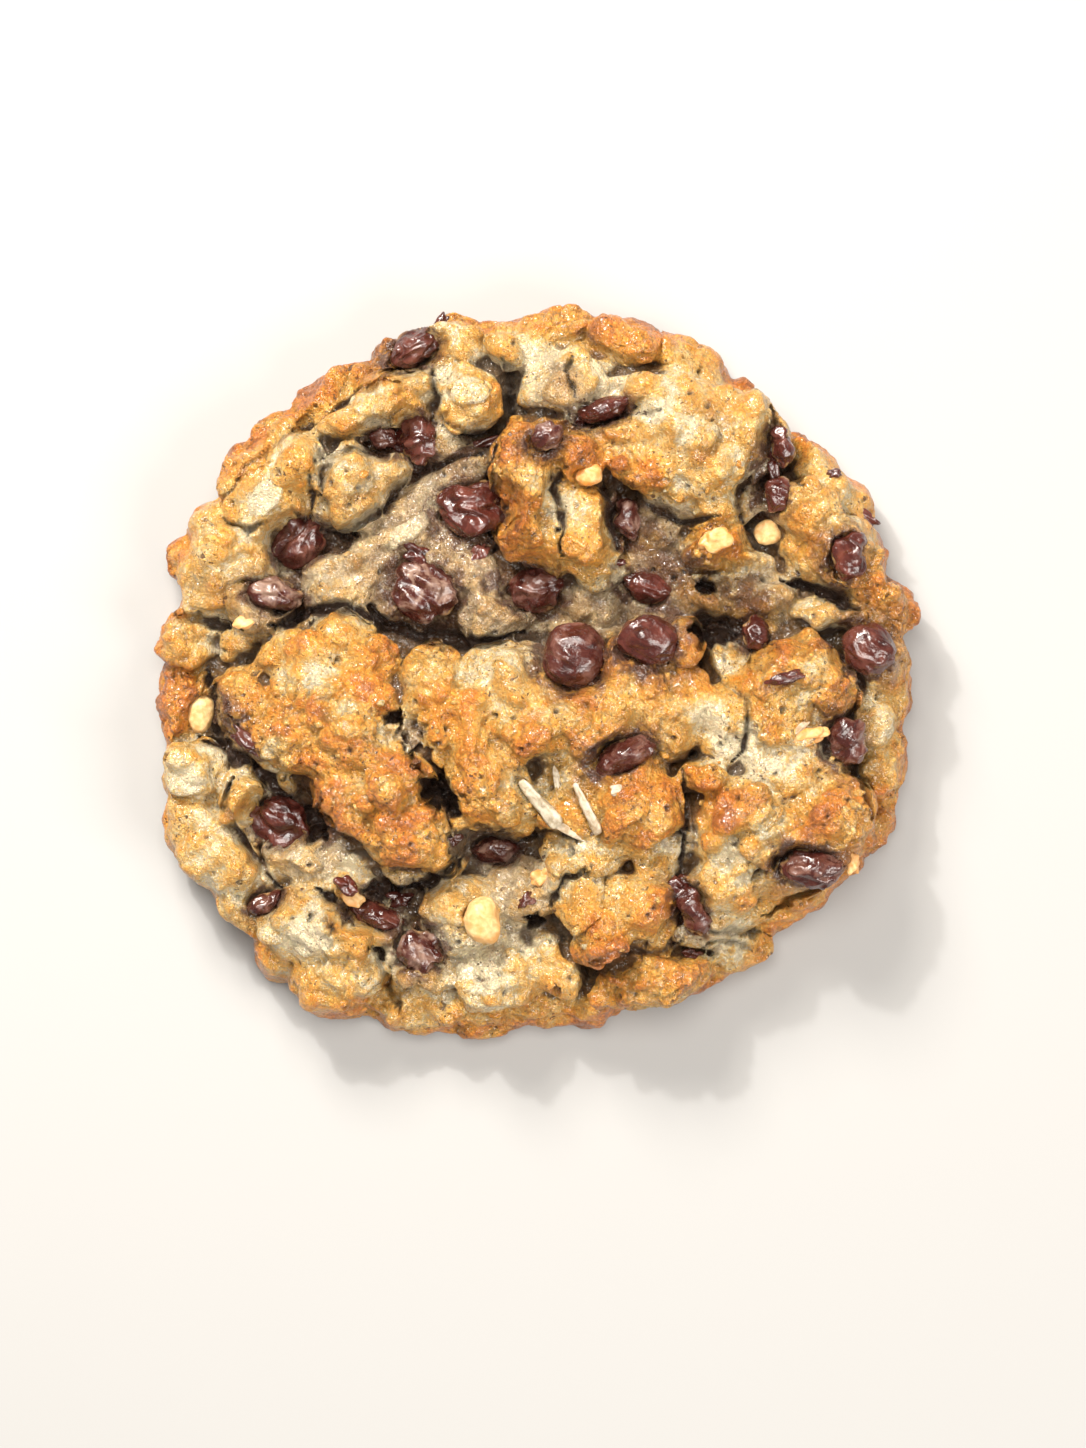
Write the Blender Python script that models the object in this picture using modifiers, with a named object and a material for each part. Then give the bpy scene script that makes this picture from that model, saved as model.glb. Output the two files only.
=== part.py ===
"""Chocolate chip cookie: a thick, hand-dropped cookie with chips set in its craggy top.

Frame: metres, +Z up, origin on the flat underside at the middle of the cookie.
+X is the longest way across. Tables of lumps and chips are in millimetres.
"""
import math

import bmesh
import bpy
from mathutils import Matrix, Vector, noise
from mathutils.bvhtree import BVHTree

# Driving dimensions
WIDTH = 0.110
DEPTH = 0.106
HEIGHT = 0.026
CHIP_GAP = 0.0007
FOOT_RADIUS = 52.8
FOOT_HEIGHT = 9.0
FOOT_BELOW = 3.0
FOOT_CORNER = 3.6
LUMP_CORNER = 2.6
LUMP_DEPTH = 17.0
CRAG_SIZE = 5.2
CRAG_DEPTH = 0.85
VOXEL = 0.0010
DOUGH_FACES = 7200
WELL_TOP = 0.040
WELL_FLARE = 0.12
CHIP_LEVEL = 0.68
WANDER_SEED = 11
MM = 0.001
CORNER_LOW = (-WIDTH / 2, -DEPTH / 2, 0.0)
CORNER_HIGH = (WIDTH / 2, DEPTH / 2, HEIGHT)

# How the edge departs from a circle: waves round it, their size, where each one crests
EDGE_WAVES = [
    (1, 1.15, -135),
    (2, 1.30, 27),
    (3, 1.20, -11),
    (4, 0.40, -15),
]

# Dough lumps: x, y, half length, half width, turn in degrees, height of the top
RIM = [
    (2, 49.8, 9.5, 3.3, 0, 12.5),
    (13, 48.3, 5.8, 3.9, -15, 15.6),
    (22, 45, 6.2, 3.6, -32, 13.5),
    (31, 38.6, 5.2, 3.6, -45, 10),
    (37, 32.3, 4, 3, -60, 9),
    (42.6, 27, 7.4, 4.3, -45, 14.4),
    (48, 17.6, 4.4, 2.8, -55, 10.5),
    (51.6, -3, 3.4, 5.8, 0, 12),
    (50.8, -12, 3.3, 6, 0, 10),
    (48.8, -21, 3.4, 6.2, -15, 9),
    (42.8, -29.0, 6.6, 3.6, 42, 10),
    (35.8, -34.2, 5.2, 3, 30, 10),
    (29.5, -36.4, 6.6, 2.5, 22, 14.4),
    (28.3, -41.2, 6.6, 2.7, 30, 11.5),
    (17.2, -44.7, 8.8, 4.5, 11, 17.3),
    (5, -48.2, 9, 3.7, 5, 9.5),
    (-6, -49.3, 8, 3.3, 0, 9),
    (-17, -48.4, 8, 3.4, -6, 10),
    (-29.5, -45.6, 6.5, 4, -25, 12.5),
    (-37, -40, 5, 4, -42, 10.5),
    (-42.5, -33, 5.6, 3.6, -55, 11.5),
    (-46.2, -25.5, 10, 4.7, -58, 15.2),
    (-49.4, -14.3, 4.7, 4.5, 0, 16.5),
    (-51.8, -4, 3, 6.2, 0, 10),
    (-50, 5.2, 4, 4.6, 0, 12),
    (-50.8, 16.6, 2.8, 3.1, 0, 7),
    (-46.3, 15.2, 4.7, 9.6, -8, 15.2),
    (-41.9, 29.4, 3.6, 5.2, -30, 14),
    (-36.8, 34.8, 4.4, 3.2, 40, 12.5),
    (-28.8, 40.8, 8, 3.3, 34, 11.5),
    (-20, 45.2, 5.2, 3.6, 30, 11.5),
    (-11, 47.3, 5.6, 4.2, 12, 14.8),
]
BACK_LEFT = [
    (-39, 24.5, 5.6, 5.3, 0, 17.7),
    (-34, 31, 4.7, 4.7, 0, 17.7),
    (-22.3, 38.7, 9.6, 3.9, 20, 18.1),
    (-9.3, 38.8, 5.4, 5.8, 0, 19.3),
    (-2, 47, 4.9, 3.7, 0, 16.1),
    (-26.3, 27, 5.7, 6.5, 20, 18.9),
    (-21, 28.6, 3.2, 4, -30, 16.1),
    (-13, 33.6, 4.6, 3.6, 0, 14.4),
    (4.6, 41.2, 5.9, 5.9, 0, 19.3),
    (15, 41, 6.6, 3, 8, 16.9),
    (-41, 17.5, 3.6, 4.6, 0, 14.8),
    (-39, 9.2, 4.8, 4, 0, 15.6),
    (-42.5, 4.5, 2.7, 3.5, 0, 11.5),
]
HOLLOW = [
    (-12, 27, 12, 5.6, 33, 13.5),
    (-27.6, 13, 6.1, 4.9, 20, 16.1),
    (-21, 19, 9, 4.2, 38, 14.7),
    (-12, 14.5, 9, 6.6, 0, 14),
    (-6, 8.3, 6.5, 4, 0, 14.7),
    (8, 10.5, 6, 4, 0, 12.5),
    (18, 21, 5, 5.5, 0, 14.2),
    (21, 9.5, 8, 5, 0, 13.4),
    (31.5, 12, 7.5, 4.6, -15, 15.2),
    (35, 5.5, 5, 4, 0, 14.2),
    (0, -31.5, 7, 5.4, 0, 14.8),
    (-32.5, -27.5, 6.5, 3.9, -15, 15),
    (-12.5, -20, 3, 4, 0, 13),
    (-18, -8.8, 2.7, 5.2, 5, 19.3),
    (-41.5, -11, 4, 4, 0, 13),
]
BACK_RIGHT = [
    (23.2, 33, 10.6, 8, -15, 21.8),
    (31, 34.3, 5.6, 6, -40, 20.6),
    (13, 34.6, 6.2, 3.7, 8, 20.4),
    (20.5, 40, 6.2, 3.6, -12, 19.9),
    (15, 29.4, 5.6, 3, -18, 22.4),
    (27, 24.6, 7, 4, 8, 17.7),
    (20, 25.8, 6, 3, 0, 16.5),
]
PEAK = [
    (-1.2, 29, 4.5, 7.9, 6, 24.7),
    (-1.6, 20.8, 3.7, 3.9, 0, 22.9),
    (5.4, 31.6, 5.2, 3.7, -20, 23.5),
    (7, 21.2, 5.5, 8.6, 14, 19.6),
    (10, 14, 4.1, 3.6, 0, 16.6),
]
FRONT_LEFT = [
    (-31, -0.5, 6.2, 6.6, -25, 21.2),
    (-34, -9, 6.3, 6.2, 0, 22.4),
    (-27, -9, 7.6, 8.2, 0, 23.8),
    (-23.5, -1, 4.3, 6.6, 10, 22.4),
    (-21, -14.5, 5.6, 5.6, 0, 25.5),
    (-18, -22, 6.6, 6.2, -30, 24.3),
    (-26.5, -18, 6.8, 5.2, -38, 23.8),
    (-13.6, -25, 4.7, 4.5, 0, 21.2),
    (-27, 6, 5.1, 3.9, -10, 19.3),
    (-35.5, 2.8, 5.2, 3.8, 40, 18.4),
    (-42, -4, 4.7, 5.3, 10, 18.3),
    (-42, -19, 3.5, 5.8, 10, 15.6),
    (-34, -35, 5.4, 4.2, 20, 16.6),
    (-28, -38, 6.2, 5.2, -20, 17.4),
    (-26.5, -43.6, 5.7, 4.1, 10, 15.5),
    (-38, -30, 2.7, 3.1, 0, 12.5),
    (-26.3, -31.8, 3.7, 2.4, -35, 17.9),
]
FRONT = [
    (-10, -34.5, 6.4, 5.6, 15, 17.9),
    (-5.5, -44, 6.6, 5.8, 0, 15.5),
    (2, -43, 6.2, 4.4, -20, 14.7),
    (-16, -43.4, 5.2, 3.3, -15, 14.3),
    (7.5, -33.5, 4.6, 5.2, 0, 19.6),
    (15.5, -34, 5.4, 6, 0, 20.4),
    (9.5, -38.6, 4.8, 3.5, 10, 22),
]
MIDDLE = [
    (-4, -1.5, 7.2, 5.7, 0, 21.9),
    (-14.5, -0.4, 5.2, 4.7, 0, 21.5),
    (-13.3, -8.3, 3.1, 4.2, 0, 22),
    (-8.3, -13.6, 3.7, 9.2, 4, 23.7),
    (-1, -8.5, 5.2, 4.7, 0, 23.7),
    (-4.6, -19, 5, 5.5, 0, 20.9),
    (9, -6.5, 8.2, 6.2, 0, 23.3),
    (19, -5, 6.7, 6.7, -30, 22.5),
    (14.5, -19.5, 7, 7.2, 0, 23.3),
    (6, -17, 5.2, 4.7, -45, 20.4),
    (7, -27, 6.7, 4.2, -20, 18.8),
    (27, -7.5, 4.2, 5.2, 0, 21.2),
    (18, -27, 3.7, 4.7, 0, 18.4),
    (14, -1, 6.2, 5.2, 0, 22.4),
    (21.5, 4.4, 3.2, 3.6, 0, 22),
    (27.5, 1.4, 3.3, 5.2, 10, 17.7),
]
RIGHT = [
    (38, -1.5, 8.3, 6.6, -10, 23.7),
    (34.5, -8.5, 3.2, 4.2, 0, 22.9),
    (24, -14.2, 4, 2.9, 15, 22.4),
    (30, -18.5, 5.8, 5.4, 0, 23.7),
    (43, -21, 6.5, 7.2, -15, 23.3),
    (37.5, -13, 8.2, 4.7, 0, 21.5),
    (27, -25, 5.7, 4.2, 0, 20.8),
    (27, -30.5, 6.5, 5.1, 10, 20.4),
    (36, -25, 6.6, 5.6, 0, 22),
    (44.5, -27.2, 2.1, 2.3, 0, 18.5),
    (48.3, -7, 3.2, 5.2, 0, 15.5),
    (49.3, -14.5, 3, 3.8, 0, 14.2),
    (38, -31.3, 7, 3.6, 15, 14.4),
    (39.5, 23.5, 6.7, 4.5, -45, 18.1),
    (45.5, 16.6, 7.2, 4.9, -45, 19.2),
    (50.8, 10, 5.3, 3.9, -42, 16.8),
    (42.5, 8.2, 6.2, 2.9, 5, 17.3),
    (50.2, 2.4, 4.1, 6, 15, 16.8),
    (26, 18.3, 5, 3.4, 15, 19.2),
    (41, 15.5, 3.1, 3.6, 0, 17.6),
]
# Broad bodies of dough that the lumps sit on, in the same columns
SLABS = [
    (-28, -7, 11.5, 10, -40, 22.2),
    (-20.5, -18, 9, 7.5, -50, 23.0),
    (1, -5, 21, 7.5, 0, 21.2),
    (-7, -13, 6.5, 11, 0, 21.0),
    (10, -17, 11, 11, 0, 20.2),
    (35, -6, 12.5, 10, 0, 20.6),
    (35, -22, 14, 11, 20, 20.2),
    (22, 35, 13, 8.5, -12, 20.2),
    (2, 25, 6, 12, 8, 19.4),
    (-34, 27, 8, 10, -40, 12.5),
    (-16, 40, 16, 6, 15, 12.5),
    (8, 43, 14, 6, -6, 13.0),
    (43, 17, 12, 7, -45, 14.5),
    (-7, -39, 13, 10, 0, 12.2),
    (12, -34, 10, 8, 0, 15.8),
    (-32, -39, 9, 7, -20, 12.4),
    (-15, 20, 18, 10, 36, 12.6),
    (22, 14, 13, 9, -10, 12.2),
]
LUMPS = SLABS + RIM + BACK_LEFT + HOLLOW + BACK_RIGHT + PEAK + FRONT_LEFT + FRONT + MIDDLE + RIGHT

# Chocolate chips: x, y, half length, half width, turn in degrees, how far the crown
# stands above the dough around it
CHIPS = [
    (-17.6, 46.6, 3.9, 2.3, 25, 1.3),
    (-16.8, 33.4, 2.4, 3.5, 10, 1.4),
    (-22.0, 33.6, 2.0, 1.7, 0, 0.9),
    (1.5, 33.0, 2.2, 1.9, 30, 0.9),
    (-9.3, 23.4, 4.9, 3.9, -10, 2.0),
    (-34.0, 18.8, 3.8, 3.2, 35, 1.6),
    (-37.2, 11.0, 3.8, 2.3, -15, 1.0),
    (-16.0, 11.3, 4.8, 4.2, -30, 2.2),
    (0.0, 12.0, 3.8, 3.2, 0, 1.4),
    (15.8, 12.0, 3.5, 2.2, -25, 1.4),
    (5.5, 2.2, 4.5, 4.7, 0, 2.8),
    (16.0, 4.5, 4.4, 3.5, -8, 2.9),
    (9.5, 37.2, 4.0, 1.5, 15, 0.5),
    (12.8, 21.8, 1.8, 3.1, 5, 0.8),
    (34.7, 32.1, 1.5, 3.0, 12, 1.0),
    (34.0, 25.0, 1.9, 2.7, -20, 1.2),
    (44.0, 16.4, 2.1, 3.5, -12, 1.0),
    (47.0, 3.2, 4.0, 3.5, -35, 2.3),
    (44.0, -10.2, 2.9, 3.3, 30, 1.2),
    (39.0, -27.8, 4.5, 2.6, -5, 1.1),
    (22.6, -33.8, 2.0, 3.3, 20, 1.0),
    (12.3, -11.7, 4.5, 2.2, 25, 1.1),
    (-37.0, -21.2, 3.9, 3.6, -30, 1.7),
    (-23.0, -34.9, 4.0, 1.9, -18, 1.2),
    (-17.0, -39.8, 3.4, 3.2, -30, 1.3),
    (-39.0, -33.0, 2.6, 1.4, 28, 0.8),
    (-6.0, -25.6, 3.5, 1.9, -5, 0.9),
    (31.0, 5.6, 2.0, 2.7, 15, 0.9),
]

# Pale pieces of nut: x, y, half length, half width, turn in degrees, stand above the dough
NUTS = [
    (33.0, 20.0, 1.9, 1.8, 20, 1.0),
    (-48.2, -6.0, 1.8, 2.7, -15, 1.0),
    (7.4, 27.6, 1.9, 1.4, 15, 0.9),
    (-7.6, -35.2, 2.5, 3.3, 10, 1.4),
]
# Flat flakes standing out of the torn dough: x, y, half length, half width, turn, stand
FLAKES = [
    (0.4, -18.6, 4.2, 1.1, -50, 1.1),
    (7.0, -19.3, 4.0, 0.75, -64, 0.9),
]
# Deep gaps between the slabs: x, y, half length, half width, turn, floor height
GAPS = [
    (25.8, 5.9, 3.0, 1.4, 0, 4.0),
    (-31.5, -23.2, 2.6, 1.5, -40, 6.0),
    (-22.6, -30.8, 3.6, 1.3, -15, 6.0),
    (20.9, -20.5, 1.1, 8.5, 4, 9.0),
    (0.2, -36.4, 1.4, 1.0, 0, 6.0),
    (43.6, 11.2, 2.6, 1.1, -30, 8.0),
]


def clear_scene():
    """Remove every object so the part starts from nothing, and fix the noise."""
    noise.seed_set(WANDER_SEED)
    for thing in list(bpy.data.objects):
        bpy.data.objects.remove(thing, do_unlink=True)


def make_collection(name):
    """A collection of its own under the scene."""
    collection = bpy.data.collections.new(name)
    bpy.context.scene.collection.children.link(collection)
    return collection


def make_material(name, colour, roughness, metallic=0.0):
    """A plain Principled material."""
    material = bpy.data.materials.new(name)
    material.use_nodes = True
    material.diffuse_color = (*colour, 1.0)
    shader = material.node_tree.nodes["Principled BSDF"]
    shader.inputs["Base Color"].default_value = (*colour, 1.0)
    shader.inputs["Roughness"].default_value = roughness
    shader.inputs["Metallic"].default_value = metallic
    return material


def make_object(name, body, collection, material=None):
    """Turn a bmesh into a named object."""
    mesh = bpy.data.meshes.new(name)
    body.to_mesh(mesh)
    body.free()
    thing = bpy.data.objects.new(name, mesh)
    collection.objects.link(thing)
    if material:
        mesh.materials.append(material)
    return thing


def bake(thing):
    """Replace an object's mesh by what its modifiers make of it."""
    depsgraph = bpy.context.evaluated_depsgraph_get()
    shaped = bpy.data.meshes.new_from_object(thing.evaluated_get(depsgraph))
    thing.modifiers.clear()
    thing.data = shaped


def keep_main_body(thing):
    """Drop loose scraps, keeping the body with the most faces."""
    body = bmesh.new()
    body.from_mesh(thing.data)
    bmesh.ops.dissolve_degenerate(body, dist=0.00001, edges=body.edges)
    body.faces.ensure_lookup_table()
    left = set(body.faces)
    bodies = []
    while left:
        island = []
        front = [left.pop()]
        while front:
            face = front.pop()
            island.append(face)
            for edge in face.edges:
                for other in edge.link_faces:
                    if other in left:
                        left.remove(other)
                        front.append(other)
        bodies.append(island)
    bodies.sort(key=len)
    for island in bodies[:-1]:
        bmesh.ops.delete(body, geom=island, context="FACES")
    body.to_mesh(thing.data)
    body.free()


def rounded_block(body, half, corner, place, level, wander=0.0):
    """A rounded block: a ball pushed out towards its box, then set in place (mm)."""
    ball = bmesh.ops.create_icosphere(body, subdivisions=level, radius=1.0)["verts"]
    for vert in ball:
        across = math.hypot(vert.co.x, vert.co.y)
        push = (across**corner + abs(vert.co.z) ** corner) ** (-1.0 / corner)
        spot = place @ Vector(
            (vert.co.x * push * half[0], vert.co.y * push * half[1], vert.co.z * push * half[2])
        )
        if wander:
            spot = spot + crag(spot) * wander
        vert.co = spot * MM
    return ball


def crag(spot):
    """The unevenness of the dough at a place (mm), shared by all the lumps."""
    wide = noise.noise_vector(spot / CRAG_SIZE)
    fine = noise.noise_vector(spot / (CRAG_SIZE * 0.45) + Vector((17.0, 5.0, 3.0)))
    return wide * CRAG_DEPTH + fine * CRAG_DEPTH * 0.45


def placed(x, y, z, turn, tip=0.0):
    """Where a lump sits, turned about the vertical and tipped along its length."""
    return (
        Matrix.Translation((x, y, z))
        @ Matrix.Rotation(math.radians(turn), 4, "Z")
        @ Matrix.Rotation(math.radians(tip), 4, "Y")
    )


def edge_radius(angle):
    """How far the edge of the cookie lies from the middle, in one direction (mm)."""
    return FOOT_RADIUS + sum(
        size * math.cos(count * (angle - math.radians(crest))) for count, size, crest in EDGE_WAVES
    )


def add_foot(body):
    """The wide foot of the cookie, a low rounded disc with a wavy edge."""
    half_height = (FOOT_HEIGHT + FOOT_BELOW) / 2
    middle = FOOT_HEIGHT - half_height
    foot = bmesh.ops.create_icosphere(body, subdivisions=6, radius=1.0)["verts"]
    for vert in foot:
        across = math.hypot(vert.co.x, vert.co.y)
        push = (across**FOOT_CORNER + abs(vert.co.z) ** FOOT_CORNER) ** (-1.0 / FOOT_CORNER)
        reach = push * edge_radius(math.atan2(vert.co.y, vert.co.x))
        spot = Vector((vert.co.x * reach, vert.co.y * reach, middle + vert.co.z * push * half_height))
        vert.co = (spot + crag(spot) * 1.3) * MM


def size_to(thing, low, high):
    """Stretch a mesh so it reaches the named size, the underside staying at z = 0."""
    points = [vert.co for vert in thing.data.vertices]
    for axis in range(3):
        first = min(point[axis] for point in points) if axis < 2 else 0.0
        last = max(point[axis] for point in points)
        grow = (high[axis] - low[axis]) / (last - first)
        for point in points:
            point[axis] = low[axis] + (point[axis] - first) * grow


def cut_flat(thing):
    """Cut the underside off flat at z = 0 and close it with one face."""
    body = bmesh.new()
    body.from_mesh(thing.data)
    bmesh.ops.dissolve_degenerate(body, dist=0.00012, edges=body.edges)
    bmesh.ops.triangulate(body, faces=body.faces)
    for vert in body.verts:
        if abs(vert.co.z) < 0.0002:
            vert.co.z = 0.0
    everything = body.verts[:] + body.edges[:] + body.faces[:]
    bmesh.ops.bisect_plane(
        body, geom=everything, dist=0.000001, plane_co=(0, 0, 0), plane_no=(0, 0, 1), clear_inner=True
    )
    rim = [edge for edge in body.edges if edge.is_boundary]
    bmesh.ops.contextual_create(body, geom=rim)
    bmesh.ops.recalc_face_normals(body, faces=body.faces)
    body.to_mesh(thing.data)
    body.free()


def make_dough(collection, material):
    """All the lumps and the foot melted together into one body, still finely meshed."""
    body = bmesh.new()
    add_foot(body)
    for x, y, half_length, half_width, turn, top in LUMPS:
        bottom = max(top - LUMP_DEPTH, -FOOT_BELOW)
        half = (half_length, half_width, (top - bottom) / 2)
        rounded_block(body, half, LUMP_CORNER, placed(x, y, (top + bottom) / 2, turn), 4, 1.0)
    dough = make_object("dough", body, collection, material)
    melt = dough.modifiers.new("melt together", "REMESH")
    melt.mode = "VOXEL"
    melt.voxel_size = VOXEL
    soften = dough.modifiers.new("soften", "SMOOTH")
    soften.factor = 0.5
    soften.iterations = 2
    bake(dough)
    keep_main_body(dough)
    size_to(dough, CORNER_LOW, CORNER_HIGH)
    return dough


def surface_height(tree, x, y, half, turn):
    """The height of the dough under a piece's footprint, nearer its higher side."""
    heights = []
    spin = Matrix.Rotation(math.radians(turn), 3, "Z")
    for ring in (0.0, 0.6, 1.0):
        for step in range(8):
            angle = math.tau * step / 8
            offset = spin @ Vector((half[0] * ring * math.cos(angle), half[1] * ring * math.sin(angle), 0))
            start = Vector((x + offset.x, y + offset.y, 60.0)) * MM
            hit = tree.ray_cast(start, Vector((0, 0, -1)))[0]
            if hit:
                heights.append(hit.z / MM)
    heights.sort()
    return heights[int(len(heights) * CHIP_LEVEL)]


def chip_shape(body, x, y, z, half, turn, grow, well):
    """A softened chip: a squashed ball, drawn up towards an off-centre crown.

    grow swells it all round for its pocket, well carries the pocket up into open air.
    """
    ball = bmesh.ops.create_uvsphere(body, u_segments=10, v_segments=6, radius=1.0)["verts"]
    place = placed(x, y, z, turn)
    lean = Vector((math.sin(x * 1.7 + y), math.cos(y * 1.3 - x), 0.0))
    for vert in ball:
        point = vert.co.copy()
        shape = Vector((point.x * half[0], point.y * half[1], point.z * half[2]))
        shape += lean * (0.10 * min(half[0], half[1]) * max(point.z, 0.0))
        shape += noise.noise_vector(Vector((x, y, z)) + point * 1.4) * (0.16 * half[1])
        outward = Vector((point.x / half[0], point.y / half[1], point.z / half[2])).normalized()
        shape += outward * (grow / MM)
        vert.co = (place @ (open_up(shape, point, half) if well else shape)) * MM


def open_up(shape, point, half):
    """Carry the upper part of a pocket up into open air, flaring a little."""
    if point.z < 0.05:
        return shape
    across = math.hypot(point.x, point.y)
    if across > 0.01:
        wide = (1.0 + WELL_FLARE) / across
        shape = Vector((point.x * wide * half[0], point.y * wide * half[1], shape.z))
    shape.z += WELL_TOP / MM * (0.5 + 0.5 * point.z)
    return shape


def nut_shape(body, x, y, z, half, turn, grow, well):
    """A piece of nut or flake: a rounded block with slightly cut corners."""
    place = placed(x, y, z, turn)
    ball = bmesh.ops.create_icosphere(body, subdivisions=2, radius=1.0)["verts"]
    for vert in ball:
        point = vert.co.copy()
        push = sum(abs(value) ** 3.2 for value in point) ** (-1.0 / 3.2)
        shape = Vector((point.x * push * half[0], point.y * push * half[1], point.z * push * half[2]))
        shape += Vector(
            [math.copysign(grow / MM, value) if abs(value) > 0.3 else value * grow / MM / 0.3 for value in point]
        )
        vert.co = (place @ (open_up(shape, point, half) if well else shape)) * MM


def gap_shape(body, x, y, half_length, half_width, turn, floor):
    """A deep gap between slabs: an upright rounded wedge open to the air."""
    half = (half_length, half_width, 22.0)
    return rounded_block(body, half, 2.2, placed(x, y, floor + 22.0, turn), 2)


def set_pieces(tree, table, prefix, maker, depth_share, parts, cutters, material):
    """Make each piece and the cutter for its pocket."""
    for number, (x, y, half_length, half_width, turn, stand) in enumerate(table, start=1):
        level = surface_height(tree, x, y, (half_length, half_width), turn)
        half = (half_length, half_width, max(half_length, half_width) * depth_share)
        z = level + stand - half[2]
        name = f"{prefix}_{number:02d}"
        body = bmesh.new()
        maker(body, x, y, z, half, turn, 0.0, False)
        piece = make_object(name, body, parts, material)
        for polygon in piece.data.polygons:
            polygon.use_smooth = True
        body = bmesh.new()
        maker(body, x, y, z, half, turn, CHIP_GAP, True)
        pocket = make_object("pocket_" + name, body, cutters)
        pocket.hide_render = True
        pocket.display_type = "WIRE"


def finish_dough(dough, cutters):
    """Take the pockets and gaps out of the dough, thin its mesh and cut it flat."""
    cut = dough.modifiers.new("pockets", "BOOLEAN")
    cut.operation = "DIFFERENCE"
    cut.solver = "EXACT"
    cut.operand_type = "COLLECTION"
    cut.collection = cutters
    bake(dough)
    keep_main_body(dough)
    triangles = sum(len(face.vertices) - 2 for face in dough.data.polygons)
    thin = dough.modifiers.new("thin out", "DECIMATE")
    thin.ratio = DOUGH_FACES / triangles
    bake(dough)
    cut_flat(dough)
    keep_main_body(dough)
    size_to(dough, CORNER_LOW, CORNER_HIGH)


def main():
    """Build the cookie."""
    clear_scene()
    parts = make_collection("chocolate_chip_cookie")
    cutters = make_collection("pockets")
    crust = make_material("dough", (0.64, 0.37, 0.14), 0.75)
    chocolate = make_material("chocolate", (0.085, 0.022, 0.012), 0.30)
    nut = make_material("nut", (0.82, 0.62, 0.33), 0.60)
    flake = make_material("flake", (0.80, 0.68, 0.45), 0.60)
    dough = make_dough(parts, crust)
    tree = BVHTree.FromObject(dough, bpy.context.evaluated_depsgraph_get())
    set_pieces(tree, CHIPS, "chip", chip_shape, 0.72, parts, cutters, chocolate)
    set_pieces(tree, NUTS, "nut", nut_shape, 0.60, parts, cutters, nut)
    set_pieces(tree, FLAKES, "flake", nut_shape, 0.30, parts, cutters, flake)
    for number, row in enumerate(GAPS, start=1):
        body = bmesh.new()
        gap_shape(body, *row)
        gap = make_object(f"gap_{number:02d}", body, cutters)
        gap.hide_render = True
        gap.display_type = "WIRE"
    finish_dough(dough, cutters)


main()
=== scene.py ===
"""Dressed chocolate chip cookie: fine craggy dough, glossy chips, nuts, flakes and crumbs.

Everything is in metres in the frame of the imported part; the tables are in millimetres.
"""
import math

import bmesh
import bpy
import numpy as np
from mathutils import Matrix, Vector
from mathutils.bvhtree import BVHTree


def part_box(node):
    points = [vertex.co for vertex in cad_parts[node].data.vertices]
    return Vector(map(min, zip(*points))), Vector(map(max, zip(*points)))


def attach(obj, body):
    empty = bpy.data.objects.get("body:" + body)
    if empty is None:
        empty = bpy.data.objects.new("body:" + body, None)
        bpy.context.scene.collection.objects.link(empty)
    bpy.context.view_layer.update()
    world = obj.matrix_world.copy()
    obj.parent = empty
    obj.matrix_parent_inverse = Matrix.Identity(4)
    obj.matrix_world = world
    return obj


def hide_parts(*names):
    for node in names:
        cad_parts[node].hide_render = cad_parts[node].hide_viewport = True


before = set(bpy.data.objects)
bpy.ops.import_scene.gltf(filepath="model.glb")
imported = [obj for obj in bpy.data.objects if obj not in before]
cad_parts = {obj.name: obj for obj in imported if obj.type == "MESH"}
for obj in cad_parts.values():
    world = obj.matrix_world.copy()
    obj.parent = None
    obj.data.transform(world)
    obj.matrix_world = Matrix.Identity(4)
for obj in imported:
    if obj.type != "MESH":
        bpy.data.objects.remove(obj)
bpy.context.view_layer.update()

MM = 0.001
VOXEL = 0.00040

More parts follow.
